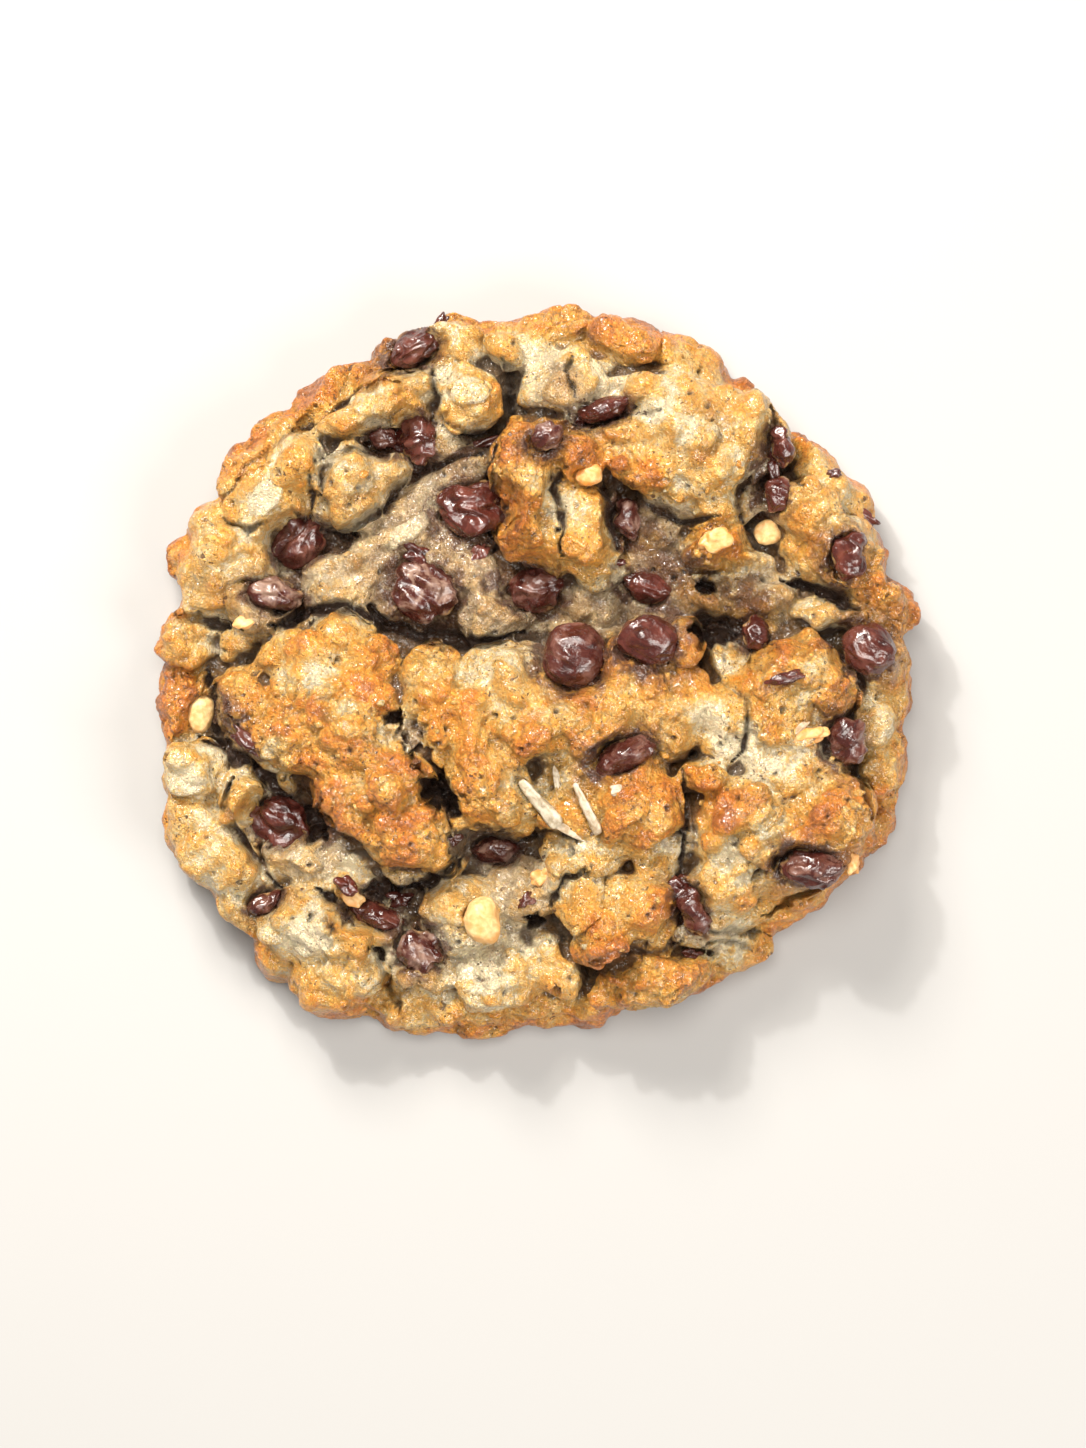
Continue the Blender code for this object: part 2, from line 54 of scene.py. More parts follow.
# Dough lumps: x, y, half length, half width, turn in degrees, top height, browning 0-9, moistness 0-9
LUMPS = {
    "rim": [
        (2, 49.8, 9.5, 3.3, 0, 12.5, 7, 0),
        (13, 48.3, 5.8, 3.9, -15, 15.6, 7, 0),
        (22, 45, 6.2, 3.6, -32, 13.5, 4, 0),
        (31, 38.6, 5.2, 3.6, -45, 10, 8, 0),
        (37, 32.3, 4, 3, -60, 9, 8, 0),
        (42.6, 27, 7.4, 4.3, -45, 14.4, 4, 0),
        (48, 17.6, 4.4, 2.8, -55, 10.5, 4, 0),
        (51.6, -3, 3.4, 5.8, 0, 12, 6, 0),
        (50.8, -12, 3.3, 6, 0, 10, 5, 1),
        (48.8, -21, 3.4, 6.2, -15, 9, 5, 0),
        (42.8, -29, 6.6, 3.6, 42, 10, 6, 0),
        (35.8, -34.2, 5.2, 3, 30, 10, 6, 0),
        (29.5, -36.4, 6.6, 2.5, 22, 14.4, 2, 2),
        (28.3, -41.2, 6.6, 2.7, 30, 11.5, 3, 1),
        (17.2, -44.7, 8.8, 4.5, 11, 17.3, 7, 0),
        (5, -48.2, 9, 3.7, 5, 9.5, 6, 0),
        (-6, -49.3, 8, 3.3, 0, 9, 6, 0),
        (-17, -48.4, 8, 3.4, -6, 10, 4, 0),
        (-29.5, -45.6, 6.5, 4, -25, 12.5, 5, 0),
        (-37, -40, 5, 4, -42, 10.5, 7, 0),
        (-42.5, -33, 5.6, 3.6, -55, 11.5, 4, 0),
        (-46.2, -25.5, 10, 4.7, -58, 15.2, 3, 0),
        (-49.4, -14.3, 4.7, 4.5, 0, 16.5, 2, 0),
        (-51.8, -4, 3, 6.2, 0, 10, 7, 0),
        (-50, 5.2, 4, 4.6, 0, 12, 4, 0),
        (-50.8, 16.6, 2.8, 3.1, 0, 7, 8, 0),
        (-46.3, 15.2, 4.7, 9.6, -8, 15.2, 3, 0),
        (-41.9, 29.4, 3.6, 5.2, -30, 14, 5, 0),
        (-36.8, 34.8, 4.4, 3.2, 40, 12.5, 6, 0),
        (-28.8, 40.8, 8, 3.3, 34, 11.5, 8, 0),
        (-20, 45.2, 5.2, 3.6, 30, 11.5, 8, 0),
        (-11, 47.3, 5.6, 4.2, 12, 14.8, 3, 0),
    ],
    "back_left": [
        (-39, 24.5, 5.6, 5.3, 0, 17.7, 3, 0),
        (-34, 31, 4.7, 4.7, 0, 17.7, 2, 0),
        (-22.3, 38.7, 9.6, 3.9, 20, 18.1, 4, 0),
        (-9.3, 38.8, 5.4, 5.8, 0, 19.3, 3, 0),
        (-2, 47, 4.9, 3.7, 0, 16.1, 2, 0),
        (-26.3, 27, 5.7, 6.5, 20, 18.9, 2, 2),
        (-21, 28.6, 3.2, 4, -30, 16.1, 2, 2),
        (-13, 33.6, 4.6, 3.6, 0, 14.4, 1, 6),
        (4.6, 41.2, 5.9, 5.9, 0, 19.3, 1, 1),
        (15, 41, 6.6, 3, 8, 16.9, 2, 3),
        (-41, 17.5, 3.6, 4.6, 0, 14.8, 2, 2),
        (-39, 9.2, 4.8, 4, 0, 15.6, 1, 6),
        (-42.5, 4.5, 2.7, 3.5, 0, 11.5, 3, 3),
    ],
    "hollow": [
        (-12, 27, 12, 5.6, 33, 13.5, 0, 9),
        (-27.6, 13, 6.1, 4.9, 20, 16.1, 1, 5),
        (-21, 19, 9, 4.2, 38, 14.7, 1, 7),
        (-12, 14.5, 9, 6.6, 0, 14, 0, 8),
        (-6, 8.3, 6.5, 4, 0, 14.7, 1, 6),
        (8, 10.5, 6, 4, 0, 12.5, 0, 9),
        (18, 21, 5, 5.5, 0, 14.2, 0, 8),
        (21, 9.5, 8, 5, 0, 13.4, 0, 7),
        (31.5, 12, 7.5, 4.6, -15, 15.2, 1, 6),
        (35, 5.5, 5, 4, 0, 14.2, 1, 5),
        (0, -31.5, 7, 5.4, 0, 14.8, 0, 7),
        (-32.5, -27.5, 6.5, 3.9, -15, 15, 1, 5),
        (-12.5, -20, 3, 4, 0, 13, 0, 6),
        (-18, -8.8, 2.7, 5.2, 5, 19.3, 0, 4),
        (-41.5, -11, 4, 4, 0, 13, 0, 5),
    ],
    "back_right": [
        (23.2, 33, 10.6, 8, -15, 21.8, 3, 0),
        (31, 34.3, 5.6, 6, -40, 20.6, 2, 1),
        (13, 34.6, 6.2, 3.7, 8, 20.4, 4, 0),
        (20.5, 40, 6.2, 3.6, -12, 19.9, 2, 0),
        (15, 29.4, 5.6, 3, -18, 22.4, 8, 0),
        (27, 24.6, 7, 4, 8, 17.7, 2, 3),
        (20, 25.8, 6, 3, 0, 16.5, 1, 5),
    ],
    "peak": [
        (-1.2, 29, 4.5, 7.9, 6, 24.7, 9, 0),
        (-1.6, 20.8, 3.7, 3.9, 0, 22.9, 9, 0),
        (5.4, 31.6, 5.2, 3.7, -20, 23.5, 8, 0),
        (7, 21.2, 5.5, 8.6, 14, 19.6, 3, 0),
        (10, 14, 4.1, 3.6, 0, 16.6, 2, 2),
    ],
    "front_left": [
        (-31, -0.5, 6.2, 6.6, -25, 21.2, 4, 0),
        (-34, -9, 6.3, 6.2, 0, 22.4, 8, 0),
        (-27, -9, 7.6, 8.2, 0, 23.8, 8, 0),
        (-23.5, -1, 4.3, 6.6, 10, 22.4, 7, 0),
        (-21, -14.5, 5.6, 5.6, 0, 25.5, 9, 0),
        (-18, -22, 6.6, 6.2, -30, 24.3, 8, 0),
        (-26.5, -18, 6.8, 5.2, -38, 23.8, 8, 0),
        (-13.6, -25, 4.7, 4.5, 0, 21.2, 4, 0),
        (-27, 6, 5.1, 3.9, -10, 19.3, 2, 1),
        (-35.5, 2.8, 5.2, 3.8, 40, 18.4, 3, 0),
        (-42, -4, 4.7, 5.3, 10, 18.3, 5, 0),
        (-42, -19, 3.5, 5.8, 10, 15.6, 2, 1),
        (-34, -35, 5.4, 4.2, 20, 16.6, 2, 0),
        (-28, -38, 6.2, 5.2, -20, 17.4, 3, 0),
        (-26.5, -43.6, 5.7, 4.1, 10, 15.5, 3, 0),
        (-38, -30, 2.7, 3.1, 0, 12.5, 2, 3),
        (-26.3, -31.8, 3.7, 2.4, -35, 17.9, 3, 0),
    ],
    "front": [
        (-10, -34.5, 6.4, 5.6, 15, 17.9, 1, 3),
        (-5.5, -44, 6.6, 5.8, 0, 15.5, 2, 1),
        (2, -43, 6.2, 4.4, -20, 14.7, 3, 1),
        (-16, -43.4, 5.2, 3.3, -15, 14.3, 1, 5),
        (7.5, -33.5, 4.6, 5.2, 0, 19.6, 4, 0),
        (15.5, -34, 5.4, 6, 0, 20.4, 6, 0),
        (9.5, -38.6, 4.8, 3.5, 10, 22, 9, 0),
    ],
    "middle": [
        (-4, -1.5, 7.2, 5.7, 0, 21.9, 2, 0),
        (-14.5, -0.4, 5.2, 4.7, 0, 21.5, 5, 0),
        (-13.3, -8.3, 3.1, 4.2, 0, 22, 6, 0),
        (-8.3, -13.6, 3.7, 9.2, 4, 23.7, 7, 0),
        (-1, -8.5, 5.2, 4.7, 0, 23.7, 8, 0),
        (-4.6, -19, 5, 5.5, 0, 20.9, 4, 0),
        (9, -6.5, 8.2, 6.2, 0, 23.3, 7, 0),
        (19, -5, 6.7, 6.7, -30, 22.5, 5, 0),
        (14.5, -19.5, 7, 7.2, 0, 23.3, 8, 0),
        (6, -17, 5.2, 4.7, -45, 20.4, 4, 0),
        (7, -27, 6.7, 4.2, -20, 18.8, 4, 1),
        (27, -7.5, 4.2, 5.2, 0, 21.2, 2, 0),
        (18, -27, 3.7, 4.7, 0, 18.4, 2, 1),
        (14, -1, 6.2, 5.2, 0, 22.4, 6, 0),
        (21.5, 4.4, 3.2, 3.6, 0, 22, 6, 0),
        (27.5, 1.4, 3.3, 5.2, 10, 17.7, 1, 4),
    ],
    "right": [
        (38, -1.5, 8.3, 6.6, -10, 23.7, 8, 0),
        (34.5, -8.5, 3.2, 4.2, 0, 22.9, 8, 0),
        (24, -14.2, 4, 2.9, 15, 22.4, 6, 0),
        (30, -18.5, 5.8, 5.4, 0, 23.7, 8, 0),
        (43, -21, 6.5, 7.2, -15, 23.3, 9, 0),
        (37.5, -13, 8.2, 4.7, 0, 21.5, 2, 0),
        (27, -25, 5.7, 4.2, 0, 20.8, 2, 0),
        (27, -30.5, 6.5, 5.1, 10, 20.4, 3, 0),
        (36, -25, 6.6, 5.6, 0, 22, 5, 0),
        (44.5, -27.2, 2.1, 2.3, 0, 18.5, 7, 0),
        (48.3, -7, 3.2, 5.2, 0, 15.5, 1, 4),
        (49.3, -14.5, 3, 3.8, 0, 14.2, 2, 3),
        (38, -31.3, 7, 3.6, 15, 14.4, 4, 0),
        (39.5, 23.5, 6.7, 4.5, -45, 18.1, 4, 0),
        (45.5, 16.6, 7.2, 4.9, -45, 19.2, 6, 0),
        (50.8, 10, 5.3, 3.9, -42, 16.8, 7, 0),
        (42.5, 8.2, 6.2, 2.9, 5, 17.3, 2, 1),
        (50.2, 2.4, 4.1, 6, 15, 16.8, 6, 0),
        (26, 18.3, 5, 3.4, 15, 19.2, 8, 0),
        (41, 15.5, 3.1, 3.6, 0, 17.6, 2, 0),
    ],
}
# Broad bodies of dough under the lumps of each slab, in the same order
SLABS = [
    (-28, -7, 11.5, 10, -40, 22.2, 7, 0),
    (-20.5, -18, 9, 7.5, -50, 23.0, 8, 0),
    (1, -5, 21, 7.5, 0, 21.2, 5, 0),
    (-7, -13, 6.5, 11, 0, 21.0, 4, 0),
    (10, -17, 11, 11, 0, 20.2, 4, 0),
    (35, -6, 12.5, 10, 0, 20.6, 5, 0),
    (35, -22, 14, 11, 20, 20.2, 4, 0),
    (22, 35, 13, 8.5, -12, 20.2, 2, 0),
    (2, 25, 6, 12, 8, 19.4, 6, 0),
    (-34, 27, 8, 10, -40, 12.5, 2, 0),
    (-16, 40, 16, 6, 15, 12.5, 3, 0),
    (8, 43, 14, 6, -6, 13.0, 2, 0),
    (43, 17, 12, 7, -45, 14.5, 4, 0),
    (-7, -39, 13, 10, 0, 12.2, 2, 1),
    (12, -34, 10, 8, 0, 15.8, 5, 0),
    (-32, -39, 9, 7, -20, 12.4, 2, 0),
    (-15, 20, 18, 10, 36, 12.6, 0, 9),
    (22, 14, 13, 9, -10, 12.2, 0, 8),
]
# Small wet folds pressed between the lumps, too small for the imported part
FOLDS = [
    (-27.5, -26.0, 5.6, 2.8, -36, 15.2, 1, 6),
    (-20.5, -29.4, 4.4, 2.3, -18, 13.6, 0, 7),
    (-35.8, -16.6, 3.0, 2.0, -42, 15.4, 1, 5),
    (-14.2, -29.6, 3.4, 2.2, 20, 14.6, 0, 6),
    (-44.5, -21.5, 2.6, 3.2, -15, 14.8, 1, 4),
    (21.0, 6.6, 2.6, 1.8, -20, 17.0, 3, 5),
    (30.0, 16.0, 4.2, 1.6, 4, 17.0, 3, 3),
    (25.5, 9.5, 3.2, 1.5, -30, 15.6, 4, 6),
    (14.5, -39.8, 6.8, 2.4, 8, 16.0, 2, 3),
    (25.0, -36.6, 4.8, 2.4, 15, 17.0, 1, 5),
    (20.6, -22.5, 2.0, 6.5, 0, 19.0, 2, 1),
    (3.5, -29.6, 4.2, 2.6, 30, 16.6, 1, 4),
    (1.8, -40.0, 2.6, 3.2, -20, 14.6, 1, 4),
    (-21.0, -38.5, 2.4, 3.6, 15, 14.0, 1, 6),
]
ALL_LUMPS = SLABS + FOLDS + [row for group in LUMPS.values() for row in group]

# Chips: x, y, half length, half width, turn, look, how much pale bloom lies on it
CHIPS = [
    (-17.6, 46.6, 3.9, 2.3, 25, "melted", 0.3),
    (-16.8, 33.4, 2.4, 3.5, 10, "melted", 0.3),
    (-22.0, 33.6, 2.0, 1.7, 0, "bit", 0.5),
    (1.5, 33.0, 2.2, 1.9, 30, "bit", 0.7),
    (-9.3, 23.4, 4.9, 3.9, -10, "melted", 0.2),
    (-34.0, 18.8, 3.8, 3.2, 35, "melted", 0.4),
    (-37.2, 11.0, 3.8, 2.3, -15, "bit", 1.0),
    (-16.0, 11.3, 4.8, 4.2, -30, "melted", 1.0),
    (0.0, 12.0, 3.8, 3.2, 0, "melted", 0.5),
    (15.8, 12.0, 3.5, 2.2, -25, "bit", 0.2),
    (5.5, 2.2, 4.5, 4.7, 0, "drop", 0.5),
    (16.0, 4.5, 4.4, 3.5, -8, "drop", 0.2),
    (9.5, 37.2, 4.0, 1.5, 15, "bit", 0.2),
    (12.8, 21.8, 1.8, 3.1, 5, "bit", 0.9),
    (34.7, 32.1, 1.5, 3.0, 12, "bit", 0.3),
    (34.0, 25.0, 1.9, 2.7, -20, "bit", 0.3),
    (44.0, 16.4, 2.1, 3.5, -12, "melted", 0.2),
    (47.0, 3.2, 4.0, 3.5, -35, "drop", 0.3),
    (44.0, -10.2, 2.9, 3.3, 30, "melted", 0.6),
    (39.0, -27.8, 4.5, 2.6, -5, "melted", 0.6),
    (22.6, -33.8, 2.0, 3.3, 20, "melted", 0.5),
    (12.3, -11.7, 4.5, 2.2, 25, "bit", 0.6),
    (-37.0, -21.2, 3.9, 3.6, -30, "melted", 0.2),
    (-23.0, -34.9, 4.0, 1.9, -18, "melted", 0.3),
    (-17.0, -39.8, 3.4, 3.2, -30, "melted", 0.9),
    (-39.0, -33.0, 2.6, 1.4, 28, "bit", 0.5),
    (-6.0, -25.6, 3.5, 1.9, -5, "bit", 0.9),
    (31.0, 5.6, 2.0, 2.7, 15, "bit", 0.3),
]
NUTS = [(33.0, 20.0, 1.9, 1.8, 20), (-48.2, -6.0, 1.8, 2.7, -15), (7.4, 27.6, 1.9, 1.4, 15), (-7.6, -35.2, 2.5, 3.3, 10)]
FLAKES = [(0.4, -18.6, 4.2, 1.1, -50), (7.0, -19.3, 4.0, 0.75, -64)]
# How toasted the nut pieces and flakes are
TOASTED = {"nut_01": 0.25, "nut_02": 0.10, "nut_03": 1.0, "nut_04": 0.35, "flake_01": 0.0, "flake_02": 0.10}

# Small things laid on the dough: x, y, half sizes (mm), turn, tip (rad), share sunk in, seed, unevenness
CHOCOLATE_BITS = [
    (-13.8, 50.1, (1.5, 0.9, 0.8), 60, 0.0, 0.5, 1, 0.6),
    (-8.2, 32.4, (2.8, 0.7, 0.6), 18, 0.0, 0.6, 2, 0.6),
    (-17.5, 17.2, (1.9, 1.2, 0.8), -20, 0.2, 0.6, 3, 0.8),
    (47.0, 22.2, (1.9, 0.9, 0.7), -30, 0.0, 0.6, 4, 0.6),
    (42.3, 28.2, (1.0, 0.6, 0.5), 10, 0.0, 0.5, 5, 0.5),
    (35.0, -1.0, (2.0, 0.8, 0.5), 20, 0.0, 0.7, 6, 0.8),
    (22.2, -40.5, (1.3, 0.8, 0.7), 0, 0.3, 0.5, 7, 0.7),
    (-1.5, -32.5, (1.2, 0.8, 0.6), 40, 0.0, 0.5, 8, 0.6),
    (11.5, 15.5, (1.2, 0.4, 0.4), 10, 0.0, 0.5, 9, 0.5),
    (6.2, 36.4, (1.4, 0.9, 0.7), 60, 0.0, 0.5, 10, 0.7),
    (-27.2, -30.2, (1.6, 1.0, 0.8), -30, 0.0, 0.5, 11, 0.7),
    (-19.6, -32.6, (1.5, 0.9, 0.8), 10, 0.0, 0.5, 12, 0.7),
    (-41.0, -9.8, (2.2, 1.0, 0.8), -40, 0.0, 0.6, 13, 0.7),
    (20.2, -30.6, (1.2, 1.6, 0.9), 0, 0.0, 0.5, 14, 0.7),
    (33.6, 29.0, (0.7, 1.8, 0.7), 8, 0.0, 0.5, 15, 0.6),
    (-12.0, -24.0, (1.2, 0.8, 0.7), 30, 0.0, 0.5, 16, 0.6),
    (-19.6, 33.6, (2.4, 1.6, 1.3), -5, 0.0, 0.4, 17, 0.5),
    (-8.6, 17.0, (1.6, 1.0, 0.7), 40, 0.0, 0.6, 18, 0.8),
]
NUT_BITS = [
    (25.2, 18.6, (2.3, 1.5, 1.0), 10, 0.1, 0.45, 21, 0.4),
    (-26.3, -31.8, (1.7, 1.2, 0.9), -35, 0.2, 0.4, 22, 0.4),
    (0.6, -29.2, (1.4, 1.1, 0.9), 20, 0.0, 0.5, 23, 0.6),
    (38.2, -9.0, (2.4, 1.0, 0.5), 12, 0.2, 0.4, 24, 0.5),
    (44.5, -27.0, (1.0, 1.4, 0.9), 5, 0.0, 0.4, 25, 0.5),
    (-41.5, 7.0, (1.2, 0.9, 0.7), 30, 0.0, 0.5, 26, 0.5),
]
SHARDS = [
    (4.5, -22.5, (2.5, 0.5, 0.22), -30, 0.15, 0.3, 31, 0.4),
    (11.2, -16.8, (0.9, 0.7, 0.4), 20, 0.3, 0.2, 32, 0.4),
    (51.4, 14.1, (0.9, 0.7, 0.5), 0, 0.0, 0.4, 33, 0.5),
    (3.0, -15.6, (1.8, 0.5, 0.2), -75, 0.2, 0.3, 34, 0.5),
    (37.0, -8.0, (1.4, 0.4, 0.2), 40, 0.3, 0.3, 35, 0.5),
]

DOUGH_STOPS = [
    (0.00, (0.87, 0.73, 0.470)),
    (0.14, (0.82, 0.545, 0.200)),
    (0.32, (0.80, 0.425, 0.085)),
    (0.50, (0.79, 0.345, 0.039)),
    (0.70, (0.78, 0.272, 0.020)),
    (0.90, (0.70, 0.196, 0.014)),
    (1.00, (0.47, 0.130, 0.014)),
]
WET_STOPS = [(0.0, (0.17, 0.078, 0.030)), (0.5, (0.40, 0.238, 0.105)), (1.0, (0.74, 0.51, 0.255))]
WORLD_LIGHT = 0.29
LIGHTS = [
    ("key", (-0.314, 0.673, 0.690), 0.60, 0.24, 4.9, (1.0, 0.95, 0.86)),
    ("spark", (-0.36, 0.62, 0.73), 0.60, 0.03, 1.9, (1.0, 0.98, 0.95)),
    ("above", (-0.05, 0.15, 1.0), 0.85, 0.40, 5.1, (1.0, 0.965, 0.91)),
    ("fill", (0.7, -0.5, 0.8), 0.9, 0.5, 6.8, (1.0, 0.965, 0.91)),
]

# How the edge departs from a circle: waves round it, their size (mm), where each one crests (deg)
EDGE_WAVES = [(1, 1.15, -135), (2, 1.30, 27), (3, 1.20, -11), (4, 0.40, -15)]
FOOT_RADIUS = 52.6
FOOT_HEIGHT = 9.0
FOOT_BELOW = 3.0
LUMP_DEPTH = 17.0

# Softer touches of colour on the dough: x, y, radius (mm), browning, moistness, strength
TOUCHES = [
    (-2.5, 30.0, 7.0, 0.42, 0.0, 0.9),
    (-1.0, 22.0, 5.5, 0.66, 0.0, 0.8),
    (5.0, 24.0, 4.0, 0.15, 0.1, 0.7),
    (-4.2, 32.5, 4.4, 1.00, 0.0, 0.9),
    (-4.6, 25.0, 3.6, 1.00, 0.0, 0.9),
    (-3.4, 19.5, 4.2, 0.92, 0.0, 0.9),
    (3.5, 34.0, 4.0, 0.85, 0.0, 0.8),
    (1.5, 27.0, 3.4, 0.20, 0.0, 0.8),
    (-27.0, -9.0, 9.0, 0.55, 0.0, 0.5),
    (-33.0, -0.5, 5.5, 0.18, 0.0, 0.8),
    (-37.0, -12.5, 4.5, 0.25, 0.0, 0.7),
    (-24.5, -27.0, 4.0, 0.22, 0.0, 0.8),
    (-27.0, 4.5, 5.0, 0.06, 0.1, 0.8),
    (-14.0, 0.5, 5.0, 0.14, 0.0, 0.8),
    (-5.0, -4.0, 4.5, 0.16, 0.0, 0.6),
    (13.0, -3.5, 5.5, 0.38, 0.0, 0.6),
    (25.0, -6.0, 4.5, 0.06, 0.0, 0.8),
    (9.5, -28.0, 4.5, 0.14, 0.0, 0.7),
    (33.0, -15.0, 4.0, 0.10, 0.0, 0.7),
    (25.0, -31.5, 5.0, 0.10, 0.0, 0.7),
    (31.0, 3.0, 5.0, 0.20, 0.0, 0.6),
    (-20.0, -15.0, 7.0, 0.78, 0.0, 0.5),
    (-14.0, -25.5, 5.0, 0.25, 0.0, 0.7),
    (10.0, -38.5, 5.0, 0.95, 0.0, 0.9),
    (6.0, -36.5, 3.5, 0.10, 0.0, 0.7),
    (15.5, 29.5, 4.5, 0.7, 0.0, 0.7),
    (8.5, 27.8, 2.6, 0.85, 0.0, 0.8),
    (26.0, 18.5, 4.5, 0.78, 0.0, 0.8),
    (33.0, 19.0, 3.5, 0.05, 0.0, 0.8),
    (45.0, -20.5, 7.5, 0.86, 0.0, 0.8),
    (34.0, -19.0, 6.5, 0.55, 0.0, 0.6),
    (37.5, -2.0, 7.5, 0.45, 0.0, 0.9),
    (34.0, -9.0, 3.5, 0.75, 0.0, 0.6),
    (16.0, -19.0, 5.5, 0.75, 0.0, 0.6),
    (1.0, -8.0, 6.0, 0.62, 0.0, 0.5),
    (17.5, 3.5, 6.0, 0.75, 0.0, 0.6),
    (28.0, -11.5, 6.0, 0.0, 0.0, 0.9),
    (36.0, -13.0, 5.5, 0.24, 0.0, 0.9),
    (28.0, -28.0, 6.0, 0.05, 0.0, 0.7),
    (19.0, -25.0, 3.5, 0.1, 0.0, 0.7),
    (6.0, -25.5, 4.5, 0.15, 0.0, 0.6),
    (-10.0, -17.0, 5.0, 0.35, 0.0, 0.5),
    (-9.5, 39.0, 5.5, 0.08, 0.45, 0.8),
    (-23.0, 38.5, 4.5, 0.0, 0.0, 1.0),
    (-14.5, 42.0, 4.5, 0.10, 0.0, 0.7),
    (-2.0, 47.0, 4.5, 0.10, 0.0, 0.6),
    (4.5, 41.0, 6.5, 0.0, 0.75, 0.9),
    (-39.0, 25.0, 6.5, 0.24, 0.50, 0.8),
    (-26.0, 27.0, 6.0, 0.12, 0.55, 0.7),
    (-46.0, 13.0, 6.5, 0.36, 0.58, 0.8),
    (23.0, 33.0, 9.0, 0.34, 0.58, 0.9),
    (-4.0, 0.0, 5.5, 0.05, 0.0, 0.6),
    (-12.0, -36.0, 4.5, 0.0, 0.1, 0.8),
    (-6.0, -43.5, 6.5, 0.0, 0.0, 1.0),
    (-30.0, -38.0, 6.5, 0.10, 0.0, 0.7),
    (-48.5, -14.0, 6.0, 0.0, 0.0, 1.0),
    (-44.0, -26.0, 6.5, 0.22, 0.35, 0.7),
    (-34.0, -27.5, 5.0, 0.10, 0.5, 0.6),
    (17.0, -45.0, 7.0, 0.60, 0.0, 1.0),
    (28.0, -37.5, 6.0, 0.05, 0.15, 0.7),
    (22.0, 14.0, 7.0, 0.45, 0.75, 0.9),
    (30.0, 10.5, 7.0, 0.50, 0.65, 0.9),
    (17.5, 9.0, 5.0, 0.30, 0.85, 0.8),
    (-20.0, 22.5, 6.0, 0.0, 0.7, 0.6),
    (0.0, -31.5, 6.5, 0.0, 0.55, 0.8),
    (-17.5, -9.0, 3.0, 0.0, 0.9, 0.9),
    (33.0, 26.5, 4.0, 0.0, 0.9, 0.8),
    (17.0, 19.0, 4.5, 0.35, 0.8, 0.9),
    (-4.0, 9.5, 4.5, 0.05, 0.7, 0.6),
    (49.0, -14.0, 4.5, 0.45, 0.1, 0.8),
    (-38.0, 9.0, 4.5, 0.0, 0.8, 0.7),
    (45.0, 20.0, 5.5, 0.22, 0.0, 0.8),
    (-20.0, -17.5, 5.0, 0.62, 0.0, 0.6),
]
# Chocolate smeared over the dough, and a few rows of painted shade in crevices or darkening of a hollow, noted
# below: x, y, half length, half width, turn, strength
SMEARS_AND_SHADES = [
    (-43.5, -6.5, 4.6, 2.0, -58, 0.9),
    (-40.5, -11.0, 3.0, 1.4, -25, 0.8),
    (-19.6, 33.2, 4.2, 2.6, 5, 0.9),
    (-9.0, 32.2, 3.4, 0.9, 18, 0.9),
    (-17.8, 17.2, 2.4, 1.5, -20, 0.8),
    (15.5, 20.5, 2.8, 4.2, 5, 0.6),
    (33.0, 28.5, 1.8, 5.0, 8, 0.8),
    # this row paints shade into a dark crevice
    (8.0, 37.8, 5.0, 1.6, 15, 0.8),
    (35.0, -1.4, 2.6, 1.1, 20, 0.6),
    # next two rows paint shade into the dark crevice along the slab's lower edge by the chips there; the second also
    # covers chocolate bits
    (-30.5, -22.5, 4.0, 2.2, -35, 0.7),
    (-22.0, -33.5, 6.0, 2.4, -20, 0.8),
    (7.6, 48.6, 1.8, 1.0, -25, 0.6),
    (11.6, 15.4, 1.4, 0.6, 10, 0.6),
    (20.0, 8.6, 3.6, 1.5, -35, 0.7),
    # next two rows only darken and grey the moist hollow on the right
    (20.0, 15.5, 6.0, 4.5, 0, 0.60),
    (31.0, 11.5, 5.5, 3.0, -10, 0.60),
    (-12.5, 30.0, 4.0, 2.0, 20, 0.45),
    (1.0, -32.0, 4.0, 1.8, 0, 0.25),
    (-6.0, 13.5, 3.0, 1.6, 30, 0.7),
]

# Torn, spongy places full of small holes: x, y, half length, half width, turn
SPONGE = [
    (-17.6, -8.0, 5.5, 2.6, -72),
    (-12.6, -18.5, 5.0, 2.2, -68),
    (-43.0, -6.0, 3.4, 1.8, -50),
    (4.5, -27.0, 3.6, 2.0, -20),
    (28.5, -10.0, 3.4, 2.0, 60),
    (21.4, -22.0, 5.0, 1.3, 88),
    (-29.5, -36.0, 3.5, 1.8, 20),
    (6.0, -44.5, 3.4, 1.6, 10),
    (46.0, -14.0, 3.6, 1.4, 80),
    (34.0, -29.0, 3.6, 1.6, 10),
    (-21.5, 34.5, 2.6, 1.6, 20),
]

